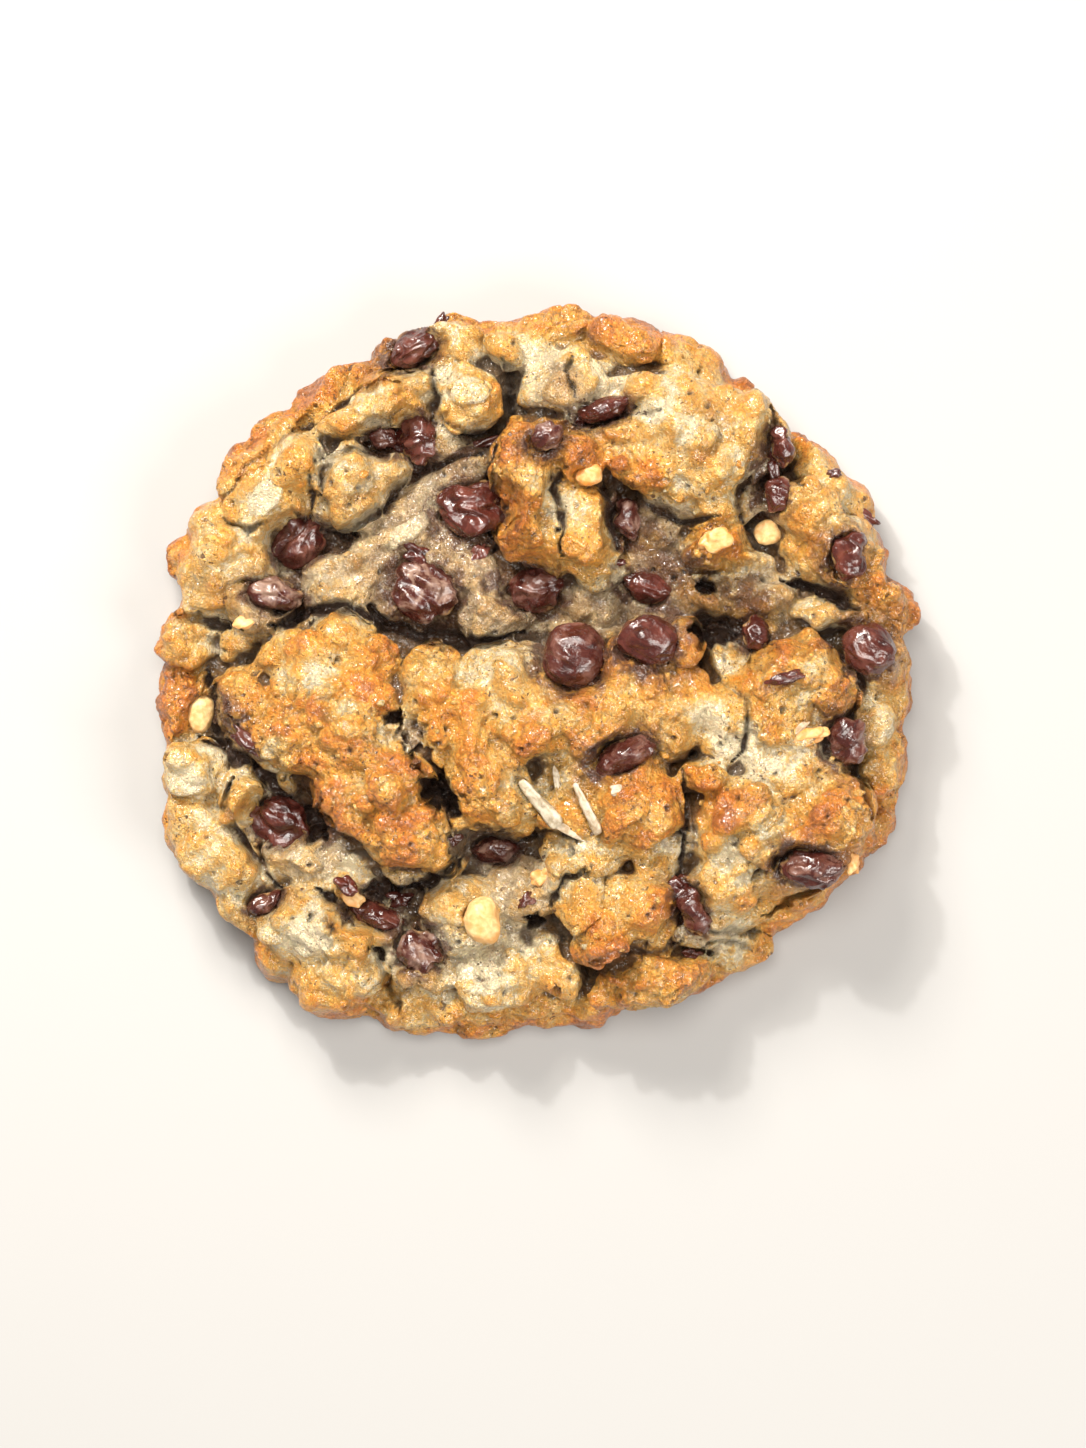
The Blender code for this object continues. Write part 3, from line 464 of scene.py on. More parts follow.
# Grooves and cracks: points along each one (x, y), half width, depth (mm)
CRACKS = [
    ([(-41, -12.5), (-37.5, -16.5), (-34.5, -19.5)], 0.8, 6),
    ([(-19, -31.6), (-12.5, -29.3), (-9.8, -26)], 0.8, 6),
    ([(-33.0, -20.0), (-29.6, -23.9)], 2.0, 14),
    ([(-24.6, -31.2), (-19.5, -31.8)], 1.7, 12),
    ([(22.4, 6.3), (26, 5.9), (29.4, 5.4)], 2.1, 15),
    ([(23.6, 12.8), (26.4, 12.0)], 1.1, 9),
    ([(20.4, -12.5), (22.4, -17), (21.4, -21), (21.6, -24.5), (20.2, -30.5)], 0.38, 3),
    ([(-18.6, -10), (-17.0, -12.5), (-14.4, -16), (-12.6, -19.5), (-11.2, -24)], 0.45, 5),
    ([(-15.8, -15.6), (-13.4, -17.6), (-11.4, -20.4)], 1.9, 13),
    ([(-21.2, -7.4), (-19.4, -5.4)], 1.4, 9),
    ([(-38, 7), (-34, 7.6), (-29, 9.6), (-23, 8.2), (-17, 5.6), (-11.5, 4.8), (-7, 4.2), (-1.5, 6.2)], 1.0, 5),
    ([(-30.5, 36.7), (-25.5, 40.2), (-20.6, 43.0), (-15, 44.6)], 0.5, 2.5),
    ([(-44.4, 24.4), (-41.9, 30.2), (-36.7, 33.4), (-30.3, 37.0)], 0.4, 1.6),
    ([(-32.2, 29), (-32, 23.7)], 0.5, 3),
    ([(-31.5, 30.4), (-25.7, 32.5), (-22.8, 31.5)], 0.5, 3),
    ([(-29, 33.6), (-21.9, 35.2), (-18.8, 38)], 0.4, 1.6),
    ([(-13.4, 36.4), (-9, 34.4), (-4.5, 34.8)], 0.5, 3.5),
    ([(4.0, 17), (4.2, 23), (2.6, 27), (4.4, 29.6)], 0.6, 3.5),
    ([(-5.6, 18), (-6.0, 26), (-5.4, 33)], 0.7, 5),
    ([(5.4, 46.5), (4.9, 43), (5.6, 39.5)], 0.35, 2.6),
    ([(9.5, 37.0), (14, 37.8), (18, 37.4)], 0.4, 2),
    ([(36, 13.6), (40.5, 12.4), (43.6, 11.2), (47, 8.8)], 0.9, 7),
    ([(-1.4, -35.8), (1.8, -36.0)], 1.3, 10),
    ([(-23.5, -39.5), (-22, -43), (-20.2, -47), (-19.4, -50)], 0.7, 6),
    ([(-31, -31.5), (-27.5, -34), (-26.5, -36.5)], 0.8, 5),
    ([(7.8, -42.2), (12, -40.4), (17, -40.2), (22, -38.6)], 0.4, 2.4),
    ([(-48.5, -9.4), (-44.5, -10.8), (-40.5, -13.5)], 0.9, 6),
    ([(-47.2, 1), (-46.6, -4), (-45.8, -9.5)], 0.8, 5),
    ([(-43.5, -15), (-44.8, -19.5), (-41, -26), (-36.5, -31.5)], 0.7, 5),
    ([(-52.5, 9), (-46, 7), (-41.8, 6.6)], 0.7, 4),
    ([(-45, 22.5), (-41.2, 20.8), (-37.8, 22.2)], 0.5, 3),
    ([(-34.5, 24), (-31, 21.5), (-27, 20.4), (-22, 24), (-18, 28.5), (-13, 30.6), (-7, 32.4)], 0.7, 4),
    ([(-31.2, 33.5), (-29.6, 30), (-30.6, 25.5)], 0.45, 3),
    ([(-14.6, 44.5), (-14.2, 40), (-15.4, 36)], 0.5, 3),
    ([(-4.0, 46), (-3.2, 41.5), (-3.4, 36)], 0.6, 4),
    ([(30.8, 29.5), (29.2, 24.2), (31.5, 20.5)], 0.5, 2.5),
    ([(16, 24.6), (20.5, 22.0), (27, 22.2)], 0.6, 3.5),
    ([(10.0, 29), (10.5, 24), (12.2, 18)], 0.8, 5),
    ([(33.8, 38.5), (36.5, 30), (38.8, 27.2)], 0.6, 4),
    ([(26, -0.5), (30.2, -4), (30.6, -9), (28.6, -13)], 0.35, 2.2),
    ([(46.2, -2.5), (45.6, -7), (47.0, -14), (48.2, -21)], 0.7, 6),
    ([(32.6, -35.2), (38.5, -32.6), (44, -29.5)], 0.6, 4),
    ([(24.5, -36.5), (29, -37.8), (34, -38.2)], 0.5, 3),
    ([(22.5, -40.2), (28, -38.9), (33, -40.5)], 0.35, 2),
    ([(9.5, -27), (4.5, -30), (2.5, -33.5)], 0.45, 2.6),
    ([(-1.2, -24), (2, -23), (6.5, -24)], 0.5, 3),
]

# Raised oat flakes lying in the surface: x, y, half length, half width, turn, lift (mm)
PLATES = [
    (-35.8, -11.6, 3.4, 2.4, 30, 0.7),
    (-26.0, -6.8, 3.6, 2.6, -20, 0.7),
    (-21.8, -8.6, 2.6, 2.0, 55, 0.6),
    (-29.5, -1.2, 3.0, 2.2, 10, 0.5),
    (-31.8, -15.2, 3.0, 2.0, -40, 0.6),
    (-19.0, -16.5, 3.2, 2.3, 15, 0.5),
    (4.0, -6.5, 3.2, 2.2, 30, 0.5),
    (16.5, -20.0, 3.4, 2.4, -30, 0.6),
    (33.5, -21.5, 3.0, 2.2, 20, 0.6),
    (41.5, 0.5, 3.2, 2.3, -15, 0.5),
    (43.5, -23.0, 3.4, 2.2, 60, 0.6),
    (38.0, -9.2, 2.6, 1.6, 10, 0.8),
    (23.0, 34.5, 3.6, 2.6, -20, 0.5),
    (17.0, 37.5, 2.8, 1.8, 10, 0.5),
    (28.0, 30.5, 3.0, 2.2, 40, 0.5),
    (-9.0, 40.5, 2.8, 2.2, 20, 0.5),
    (-26.0, 28.0, 3.0, 2.2, -30, 0.5),
    (-38.5, 25.0, 2.8, 2.0, 50, 0.4),
    (-32.0, -38.5, 3.0, 2.2, 15, 0.5),
    (-8.0, -44.5, 3.2, 2.0, -10, 0.5),
    (27.0, 14.6, 4.2, 1.2, 2, 0.9),
    (-18.0, 20.6, 4.4, 1.3, 36, 0.8),
]


def lattice(ix, iy, iz, seed):
    """A repeatable number from 0 to 1 for each corner of a grid."""
    h = (ix * 374761393 + iy * 668265263 + iz * 2147483647 + seed * 974634777) & 0xFFFFFFFF
    h = ((h ^ (h >> 13)) * 1274126177) & 0xFFFFFFFF
    h = ((h ^ (h >> 16)) * 2246822519) & 0xFFFFFFFF
    return ((h ^ (h >> 15)) & 0xFFFFFF) / float(0xFFFFFF)


SLOPES = np.array(
    [(x, y, z) for x in (-1, 0, 1) for y in (-1, 0, 1) for z in (-1, 0, 1) if abs(x) + abs(y) + abs(z) == 2]
    + [(1, 1, 0), (-1, 1, 0), (0, -1, 1), (0, -1, -1)],
    float,
)


def smooth_noise(p, size, seed):
    """Soft noise from about -1 to 1 with features about `size` mm across."""
    q = p / size
    base = np.floor(q).astype(np.int64)
    f = q - base
    ease = f * f * f * (f * (f * 6 - 15) + 10)
    total = np.zeros(len(p))
    for dx in (0, 1):
        for dy in (0, 1):
            for dz in (0, 1):
                w = (
                    (ease[:, 0] if dx else 1 - ease[:, 0])
                    * (ease[:, 1] if dy else 1 - ease[:, 1])
                    * (ease[:, 2] if dz else 1 - ease[:, 2])
                )
                pick = lattice(base[:, 0] + dx, base[:, 1] + dy, base[:, 2] + dz, seed)
                slope = SLOPES[(pick * 15.999).astype(int)]
                total += w * (slope * (f - (dx, dy, dz))).sum(axis=1)
    return total * 1.3


def billow(p, size, seed, octaves=1, gain=0.5):
    """Puffy noise: rounded swellings that meet in creases, about -0.6 to 1."""
    total = np.zeros(len(p))
    for octave in range(octaves):
        share = gain**octave
        total += share * (np.abs(smooth_noise(p, size / 2**octave, seed + octave)) * 2.2 - 0.62)
    return total


def rough_noise(p, size, seed, octaves=3, gain=0.5):
    """Several sizes of noise added up, still about -1 to 1."""
    total = np.zeros(len(p))
    weight = 0.0
    for octave in range(octaves):
        share = gain**octave
        total += share * smooth_noise(p, size / 2**octave, seed + octave)
        weight += share
    return total / weight * 1.3


def cells(p, size, seed, jitter=0.9):
    """Distance to the nearest and second nearest scattered point, over `size`, and its number."""
    q = p / size
    base = np.floor(q).astype(np.int64)
    first = np.full(len(p), 9.0)
    second = np.full(len(p), 9.0)
    tag = np.zeros(len(p))
    for dx in (-1, 0, 1):
        for dy in (-1, 0, 1):
            for dz in (-1, 0, 1):
                c = base + np.array((dx, dy, dz))
                dist = np.zeros(len(p))
                for axis in range(3):
                    spot = c[:, axis] + 0.5 + jitter * (lattice(c[:, 0], c[:, 1], c[:, 2], seed + axis) - 0.5)
                    dist += (spot - q[:, axis]) ** 2
                dist = np.sqrt(dist)
                nearer = dist < first
                second = np.where(nearer, first, np.minimum(second, dist))
                tag = np.where(nearer, lattice(c[:, 0], c[:, 1], c[:, 2], seed + 7), tag)
                first = np.where(nearer, dist, first)
    return first, second, tag


def step(low, high, value):
    """Goes smoothly from 0 to 1 as value goes from low to high."""
    t = np.clip((value - low) / (high - low), 0.0, 1.0)
    return t * t * (3 - 2 * t)


def points_of(mesh):
    co = np.empty(len(mesh.vertices) * 3)
    mesh.vertices.foreach_get("co", co)
    return co.reshape(-1, 3)


def put_points(mesh, co):
    mesh.vertices.foreach_set("co", np.ascontiguousarray(co, dtype=np.float32).ravel())
    mesh.update()


def normals_of(mesh):
    no = np.empty(len(mesh.vertices) * 3)
    mesh.vertex_normals.foreach_get("vector", no)
    return no.reshape(-1, 3)


def put_layer(mesh, name, values):
    layer = mesh.attributes.new(name, "FLOAT", "POINT")
    layer.data.foreach_set("value", np.ascontiguousarray(values, dtype=np.float32))


def new_object(name, body):
    mesh = bpy.data.meshes.new(name)
    body.to_mesh(mesh)
    body.free()
    thing = bpy.data.objects.new(name, mesh)
    bpy.context.scene.collection.objects.link(thing)
    return thing


def bake(thing):
    """Replace an object's mesh by what its modifiers make of it."""
    depsgraph = bpy.context.evaluated_depsgraph_get()
    shaped = bpy.data.meshes.new_from_object(thing.evaluated_get(depsgraph))
    thing.modifiers.clear()
    thing.data = shaped


def edge_radius(angle):
    """How far the edge of the cookie lies from the middle in each direction (mm)."""
    reach = np.full_like(angle, FOOT_RADIUS)
    for count, size, crest in EDGE_WAVES:
        reach = reach + size * np.cos(count * (angle - math.radians(crest)))
    return reach


def unit_ball(level):
    """Points of a ball of radius 1 and its faces."""
    body = bmesh.new()
    bmesh.ops.create_icosphere(body, subdivisions=level, radius=1.0)
    points = np.array([vert.co[:] for vert in body.verts])
    faces = [[vert.index for vert in face.verts] for face in body.faces]
    body.free()
    return points, faces


def rounded(points, corner):
    """Push a ball's points out to a rounded drum."""
    across = np.hypot(points[:, 0], points[:, 1])
    push = (across**corner + np.abs(points[:, 2]) ** corner) ** (-1.0 / corner)
    return points * push[:, None]


def turned(points, turn):
    c, s = math.cos(math.radians(turn)), math.sin(math.radians(turn))
    out = points.copy()
    out[:, 0] = points[:, 0] * c - points[:, 1] * s
    out[:, 1] = points[:, 0] * s + points[:, 1] * c
    return out


def crags(p):
    """The unevenness shared by all the lumps, as offsets in mm."""
    wide = np.stack([smooth_noise(p, 9.0, 11 + k * 5) for k in range(3)], axis=1)
    mid = np.stack([smooth_noise(p, 3.8, 12 + k * 5) for k in range(3)], axis=1)
    return wide * 1.5 + mid * 0.8


def rough_dough():
    """All the lumps and the foot, overlapping, as one object."""
    ball, faces = unit_ball(4)
    foot, foot_faces = unit_ball(6)
    chunks, all_faces, start = [], [], 0
    half_height = (FOOT_HEIGHT + FOOT_BELOW) / 2
    shape = rounded(foot, 3.6)
    reach = edge_radius(np.arctan2(foot[:, 1], foot[:, 0]))
    shape = np.stack(
        [shape[:, 0] * reach, shape[:, 1] * reach, FOOT_HEIGHT - half_height + shape[:, 2] * half_height], axis=1
    )
    chunks.append(shape)
    all_faces.append(np.array(foot_faces))
    start = len(shape)
    for x, y, half_length, half_width, turn, top, brown, moist in ALL_LUMPS:
        bottom = max(top - LUMP_DEPTH, -FOOT_BELOW)
        shape = rounded(ball, 2.5) * (half_length, half_width, (top - bottom) / 2)
        shape = turned(shape, turn) + (x, y, (top + bottom) / 2)
        chunks.append(shape)
        all_faces.append(np.array(faces) + start)
        start += len(shape)
    points = np.concatenate(chunks)
    points = points + crags(points)
    mesh = bpy.data.meshes.new("dough_fine")
    mesh.from_pydata((points * MM).tolist(), [], np.concatenate(all_faces).tolist())
    thing = bpy.data.objects.new("dough_fine", mesh)
    bpy.context.scene.collection.objects.link(thing)
    return thing


def melt(thing, voxel, rounds):
    """Melt overlapping shapes into one skin."""
    remesh = thing.modifiers.new("melt", "REMESH")
    remesh.mode = "VOXEL"
    remesh.voxel_size = voxel
    soften = thing.modifiers.new("soften", "SMOOTH")
    soften.factor = 0.5
    soften.iterations = rounds
    bake(thing)


def lump_mix(p):
    """Browning and moistness at each point, from the lumps whose skin is nearest."""
    total = np.full(len(p), 1e-6)
    brown = np.zeros(len(p))
    moist = np.zeros(len(p))
    for x, y, half_length, half_width, turn, top, tone, wet in ALL_LUMPS:
        near = np.nonzero((np.abs(p[:, 0] - x) < half_length + half_width + 2) & (np.abs(p[:, 1] - y) < half_length + half_width + 2))[0]
        if not len(near):
            continue
        bottom = max(top - LUMP_DEPTH, -FOOT_BELOW)
        local = turned(p[near] - (x, y, (top + bottom) / 2), -turn)
        across = np.hypot(local[:, 0] / half_length, local[:, 1] / half_width)
        level = (across**2.5 + np.abs(local[:, 2] / ((top - bottom) / 2)) ** 2.5) ** 0.4
        weight = np.exp(-10.0 * np.abs(level - 1.0)) * step(1.6, 0.9, across)
        total[near] += weight
        brown[near] += weight * tone
        moist[near] += weight * wet
    return brown / total / 9.0, moist / total / 9.0


def chip_frames():
    """For each chip: centre, half sizes and turn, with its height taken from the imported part."""
    rows = []
    for number, (x, y, half_length, half_width, turn, look, bloom) in enumerate(CHIPS, start=1):
        low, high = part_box(f"chip_{number:02d}")
        rows.append(
            (
                f"chip_{number:02d}",
                np.array(((low.x + high.x) / 2, (low.y + high.y) / 2, (low.z + high.z) / 2)) / MM,
                (half_length, half_width, (high.z - low.z) / 2 / MM),
                turn,
                look,
                bloom,
            )
        )
    return rows


def press_in(p, centre, half, turn, ragged):
    """Lower the dough under a piece so that the piece sits in it behind a ragged collar."""
    local = turned(p - centre, -turn)
    across = np.hypot(local[:, 0] / half[0], local[:, 1] / half[1]) + ragged
    near = across < 1.9
    beyond = np.maximum(across - 1.0, 0) * min(half[0], half[1])
    limit = centre[2] + half[2] * (-1.0 + 1.35 * step(0.62, 1.0, across)) + 3.4 * beyond
    p[:, 2] = np.where(near & (p[:, 2] > limit), limit, p[:, 2])
    return p


def along(p, path):
    """Distance in plan from each point to a path, and how far along it lies (0 to 1)."""
    best = np.full(len(p), 1e9)
    share = np.zeros(len(p))
    count = len(path) - 1
    for k in range(count):
        a = np.array(path[k], float)
        b = np.array(path[k + 1], float)
        d = b - a
        t = np.clip(((p[:, 0] - a[0]) * d[0] + (p[:, 1] - a[1]) * d[1]) / (d @ d), 0, 1)
        dist = np.hypot(p[:, 0] - a[0] - t * d[0], p[:, 1] - a[1] - t * d[1])
        share = np.where(dist < best, (k + t) / count, share)
        best = np.minimum(best, dist)
    return best, share


def soften(mesh, values, rounds):
    """Blend a layer's values with their neighbours'."""
    ends = np.empty(len(mesh.edges) * 2, dtype=np.int32)
    mesh.edges.foreach_get("vertices", ends)
    first, second = ends[0::2], ends[1::2]
    count = np.bincount(ends, minlength=len(values))
    for _ in range(rounds):
        total = np.bincount(first, values[second], len(values)) + np.bincount(second, values[first], len(values))
        values = 0.4 * values + 0.6 * total / count
    return values


def height_map(p, pitch, blur):
    """The dough's upper surface on a grid, blurred, read back at each point."""
    nx = int(120 / pitch)
    ix = np.clip(((p[:, 0] + 60) / pitch).astype(int), 0, nx - 1)
    iy = np.clip(((p[:, 1] + 60) / pitch).astype(int), 0, nx - 1)
    grid = np.zeros((nx, nx))
    np.maximum.at(grid, (ix, iy), p[:, 2])
    width = max(1, int(blur / pitch))
    for axis in (0, 1, 0, 1):
        padded = np.concatenate([np.repeat(grid.take([0], axis), width, axis), grid, np.repeat(grid.take([-1], axis), width, axis)], axis)
        summed = np.cumsum(padded, axis=axis)
        size = 2 * width + 1
        first = np.zeros_like(summed.take([0], axis))
        summed = np.concatenate([first, summed], axis)
        grid = (summed.take(range(size, size + nx), axis) - summed.take(range(0, nx), axis)) / size
    return grid[ix, iy]


def fine_dough(chips):
    """The dough with its fine surface and the layers that its material reads."""
    thing = rough_dough()
    melt(thing, VOXEL, 5)
    mesh = thing.data
    p = points_of(mesh) / MM
    n = normals_of(mesh)
    up = np.clip(n[:, 2], 0, 1)
    brown, moist = (soften(mesh, values, 45) for values in lump_mix(p))

    # rumpled and puffed forms, large to small
    bent = p + np.stack([rough_noise(p, 6.0, 31 + k, 2) for k in range(3)], axis=1) * 1.2
    patch = step(-0.3, 0.4, smooth_noise(p, 11.0, 81))
    calm = (1 - 0.22 * moist) * (0.45 + 0.55 * step(0.1, 0.6, n[:, 2]))
    big = billow(bent, 7.5, 51)
    mid = billow(bent + 3.0, 3.9, 61)
    small = billow(bent + 6.0, 2.0, 71)
    tiny = billow(p + 9.0, 1.15, 75)
    lift = (big * 1.0 + mid * (0.44 + 0.20 * patch) + small * (0.14 + 0.12 * patch) + tiny * 0.10) * calm
    lift += rough_noise(p, 1.5, 91, 2) * 0.08

    # oat flakes pressed into the top
    plate = np.zeros(len(p))
    for x, y, half_length, half_width, turn, rise in PLATES:
        local = turned(p - (x, y, 0), -turn)
        across = np.hypot(local[:, 0] / half_length, local[:, 1] / half_width) + 0.18 * smooth_noise(p, 2.0, 85)
        on = step(1.06, 0.92, across) * step(0.3, 0.6, n[:, 2])
        lift += 1.1 * on * rise * (1 - 0.2 * step(0.35, 0.0, np.abs(local[:, 1]) / half_width))
        plate = np.maximum(plate, on)

    # fine crackle where the top is browned
    first2, second2, _ = cells(bent + 2.0, 2.3, 64)
    crackle = step(0.13, 0.0, second2 - first2) * step(0.4, 0.8, brown + 0.35 * (patch - 0.5))
    lift -= crackle * 0.30
    # stretched strands in the moist hollow
    flow = turned(p, -38.0) * (0.22, 1.0, 0.6)
    strands = rough_noise(flow, 1.7, 101, 2)
    lift += strands * 0.35 * step(0.3, 0.8, moist)
    # torn, spongy places
    first5, _, tag5 = cells(bent + 8.0, 1.9, 113, 1.0)
    torn = np.zeros(len(p))
    for x, y, half_length, half_width, turn in SPONGE:
        local = turned(p - (x, y, 0), -turn)
        across = np.hypot(local[:, 0] / half_length, local[:, 1] / half_width) + 0.35 * smooth_noise(p, 2.6, 87)
        torn = np.maximum(torn, step(1.15, 0.75, across))
    torn *= step(0.46, 0.26, first5) * (tag5 > 0.30) * step(0.1, 0.5, up)
    lift -= torn * 2.6
    # open pores
    f4, _, t4 = cells(p + 5.0, 2.7, 111, 1.0)
    pore = step(0.20, 0.08, f4) * (t4 > 0.25) * step(0.2, 0.7, up)
    lift -= pore * 1.1
    p = p + n * lift[:, None]

    # grooves and cracks
    groove = np.zeros(len(p))
    for path, half_width, depth in CRACKS:
        wobble = 1 + 0.55 * smooth_noise(p, 2.4, 121)
        shift = np.stack([smooth_noise(p, 3.0, 131), smooth_noise(p, 3.0, 132), np.zeros(len(p))], axis=1) * 0.7
        dist, share = along(p + shift, path)
        ends = np.clip(np.minimum(share, 1 - share) * 5, 0.25, 1)
        cut = step(1.35, 0.35, dist / (half_width * wobble * ends))
        open_here = step(-0.55, 0.15, smooth_noise(p, 4.5, 123)) if half_width < 0.8 else 1.0
        drop = depth * (0.35 + 0.65 * open_here)
        p[:, 2] -= np.where(p[:, 2] > 4, cut * np.minimum(drop, p[:, 2] - 3.5) * up**0.3, 0)
        groove = np.maximum(groove, cut * (1.0 if half_width >= 0.8 else 0.55))
    stain_and_shade = np.zeros(len(p))
    halo_and_shade = np.zeros(len(p))
    ragged = 0.22 * smooth_noise(p, 2.6, 143) + 0.12 * smooth_noise(p, 1.1, 145)
    for name, centre, half, turn, look, bloom in chips:
        local = turned(p - centre, -turn)
        across = np.hypot(local[:, 0] / half[0], local[:, 1] / half[1])
        near = step(9.0, 3.0, np.abs(local[:, 2]))
        stain_and_shade = np.maximum(stain_and_shade, step(1.75, 0.95, across + 0.30 * smooth_noise(p, 1.9, 141)) * near)
        halo_and_shade = np.maximum(halo_and_shade, step(3.0, 1.0, across + 0.5 * smooth_noise(p, 3.5, 147)) * near)
        p = press_in(p, centre, half, turn, ragged * (0.5 if look == "drop" else 1.0))
    for name, centre, half, turn in extras_frames():
        p = press_in(p, centre, half, turn, ragged * 0.5 + 0.05)

    # smear table: chocolate smears, and rows of painted shade in crevices
    for x, y, half_length, half_width, turn, strength in SMEARS_AND_SHADES:
        local = turned(p - (x, y, 0), -turn)
        across = np.hypot(local[:, 0] / half_length, local[:, 1] / half_width)
        stain_and_shade = np.maximum(stain_and_shade, strength * step(1.3, 0.5, across + 0.45 * smooth_noise(p, 1.9, 153)))
        halo_and_shade = np.maximum(halo_and_shade, strength * step(2.2, 0.7, across + 0.45 * smooth_noise(p, 3.5, 147)))

    # touches of colour
    for x, y, radius, tone, wet, strength in TOUCHES:
        dist = np.hypot(p[:, 0] - x, p[:, 1] - y) + 0.35 * radius * smooth_noise(p, radius, 151)
        share = strength * step(radius, radius * 0.35, dist)
        brown = brown * (1 - share) + share * tone
        moist = moist * (1 - share) + share * wet
    # relief: height above the blurred surface nearby, set to neutral at the rim; the material browns high places by
    # it and paints shade into the lowest
    relief = (p[:, 2] - height_map(p, 0.6, 3.0)) * step(52.0, 47.0, np.hypot(p[:, 0], p[:, 1]))
    p[:, 2] = np.where(p[:, 2] < 0.35, 0.0, p[:, 2])
    put_points(mesh, p * MM)
    side = step(0.75, 0.2, n[:, 2]) * step(13.0, 8.0, p[:, 2]) * step(46.0, 50.0, np.hypot(p[:, 0], p[:, 1]))
    put_layer(mesh, "brown", np.clip(brown, 0, 1))
    put_layer(mesh, "moist", np.clip(moist, 0, 1))
    put_layer(mesh, "relief", np.clip(relief / 6 + 0.5, 0, 1))
    put_layer(mesh, "nodule", np.clip(0.38 + 0.26 * big + 0.24 * mid + 0.16 * small + 0.10 * tiny, 0, 1))
    put_layer(mesh, "plate", plate)
    # painted shade: the pores, torn places, grooves and crackle cut in above, which the material turns near black
    put_layer(mesh, "pit_shade", np.clip(np.maximum.reduce([pore, torn, groove * 0.9, crackle * 0.5]), 0, 1))
    # stain and halo layers: chocolate stain and its grey moist ring, plus painted shade where some smear rows lie in
    # crevices
    put_layer(mesh, "stain_and_shade", stain_and_shade)
    put_layer(mesh, "halo_and_shade", halo_and_shade)
    put_layer(mesh, "side", side)
    return thing


def fit_to_box(thing, low, high):
    """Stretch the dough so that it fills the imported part's box exactly."""
    p = points_of(thing.data)
    first, last = p.min(axis=0), p.max(axis=0)
    first[2] = 0.0
    p = low + (p - first) * (high - low) / (last - first)
    p[:, 2] = np.maximum(p[:, 2], 0.0)
    put_points(thing.data, p)


def flatten_underside(thing):
    """Cut the mesh flat at z = 0 and close it."""
    body = bmesh.new()
    body.from_mesh(thing.data)
    everything = body.verts[:] + body.edges[:] + body.faces[:]
    bmesh.ops.bisect_plane(body, geom=everything, dist=1e-7, plane_co=(0, 0, 1e-5), plane_no=(0, 0, 1), clear_inner=True)
    rim = [edge for edge in body.edges if edge.is_boundary]
    bmesh.ops.contextual_create(body, geom=rim)
    for face in body.faces:
        face.smooth = len(face.verts) < 8
    body.to_mesh(thing.data)
    body.free()


# ---------------------------------------------------------------- materials


class Nodes:
    """A short way to build a material's nodes."""

    def __init__(self, name):
        self.material = bpy.data.materials.new(name)
        self.material.use_nodes = True
        self.tree = self.material.node_tree
        self.shader = self.tree.nodes["Principled BSDF"]
        self.place = self.add("ShaderNodeTexCoord").outputs["Object"]

    def add(self, kind, **settings):
        node = self.tree.nodes.new(kind)
        for key, value in settings.items():
            setattr(node, key, value)
        return node

    def put(self, socket, value):
        if isinstance(value, bpy.types.NodeSocket):
            self.tree.links.new(value, socket)
        else:
            socket.default_value = value

    def layer(self, name):
        return self.add("ShaderNodeAttribute", attribute_name=name).outputs["Fac"]

    def math(self, operation, a, b=0.0, c=0.0, clamp=False):
        node = self.add("ShaderNodeMath", operation=operation, use_clamp=clamp)
        for socket, value in zip(node.inputs, (a, b, c)):
            self.put(socket, value)
        return node.outputs[0]

    def noise(self, scale, detail=3.0, rough=0.55, place=None, distort=0.0):
        node = self.add("ShaderNodeTexNoise")
        self.put(node.inputs["Vector"], place or self.place)
        node.inputs["Scale"].default_value = scale
        node.inputs["Detail"].default_value = detail
        node.inputs["Roughness"].default_value = rough
        node.inputs["Distortion"].default_value = distort
        return node.outputs["Fac"]

    def cells(self, scale, feature="F1", place=None):
        node = self.add("ShaderNodeTexVoronoi", feature=feature)
        self.put(node.inputs["Vector"], place or self.place)
        node.inputs["Scale"].default_value = scale
        return node.outputs["Distance"]

    def spread(self, value, low, high, to_low=0.0, to_high=1.0):
        node = self.add("ShaderNodeMapRange", interpolation_type="SMOOTHSTEP")
        self.put(node.inputs["Value"], value)
        for key, number in (("From Min", low), ("From Max", high), ("To Min", to_low), ("To Max", to_high)):
            node.inputs[key].default_value = number
        return node.outputs["Result"]

    def ramp(self, value, stops):
        node = self.add("ShaderNodeValToRGB")
        ramp = node.color_ramp
        while len(ramp.elements) < len(stops):
            ramp.elements.new(0.5)
        for element, (at, colour) in zip(ramp.elements, stops):
            element.position = at
            element.color = (*colour, 1.0)
        self.put(node.inputs["Fac"], value)
        return node.outputs["Color"]

    def mix(self, share, a, b, blend="MIX"):
        node = self.add("ShaderNodeMix", data_type="RGBA", blend_type=blend, clamp_factor=True)
        self.put(node.inputs[0], share)
        for socket, value in ((node.inputs[6], a), (node.inputs[7], b)):
            self.put(socket, (*value, 1.0) if isinstance(value, tuple) else value)
        return node.outputs[2]

    def bump(self, height, depth, strength=1.0, after=None):
        node = self.add("ShaderNodeBump")
        node.inputs["Distance"].default_value = depth
        node.inputs["Strength"].default_value = strength
        self.put(node.inputs["Height"], height)
        if after:
            self.put(node.inputs["Normal"], after)
        return node.outputs["Normal"]


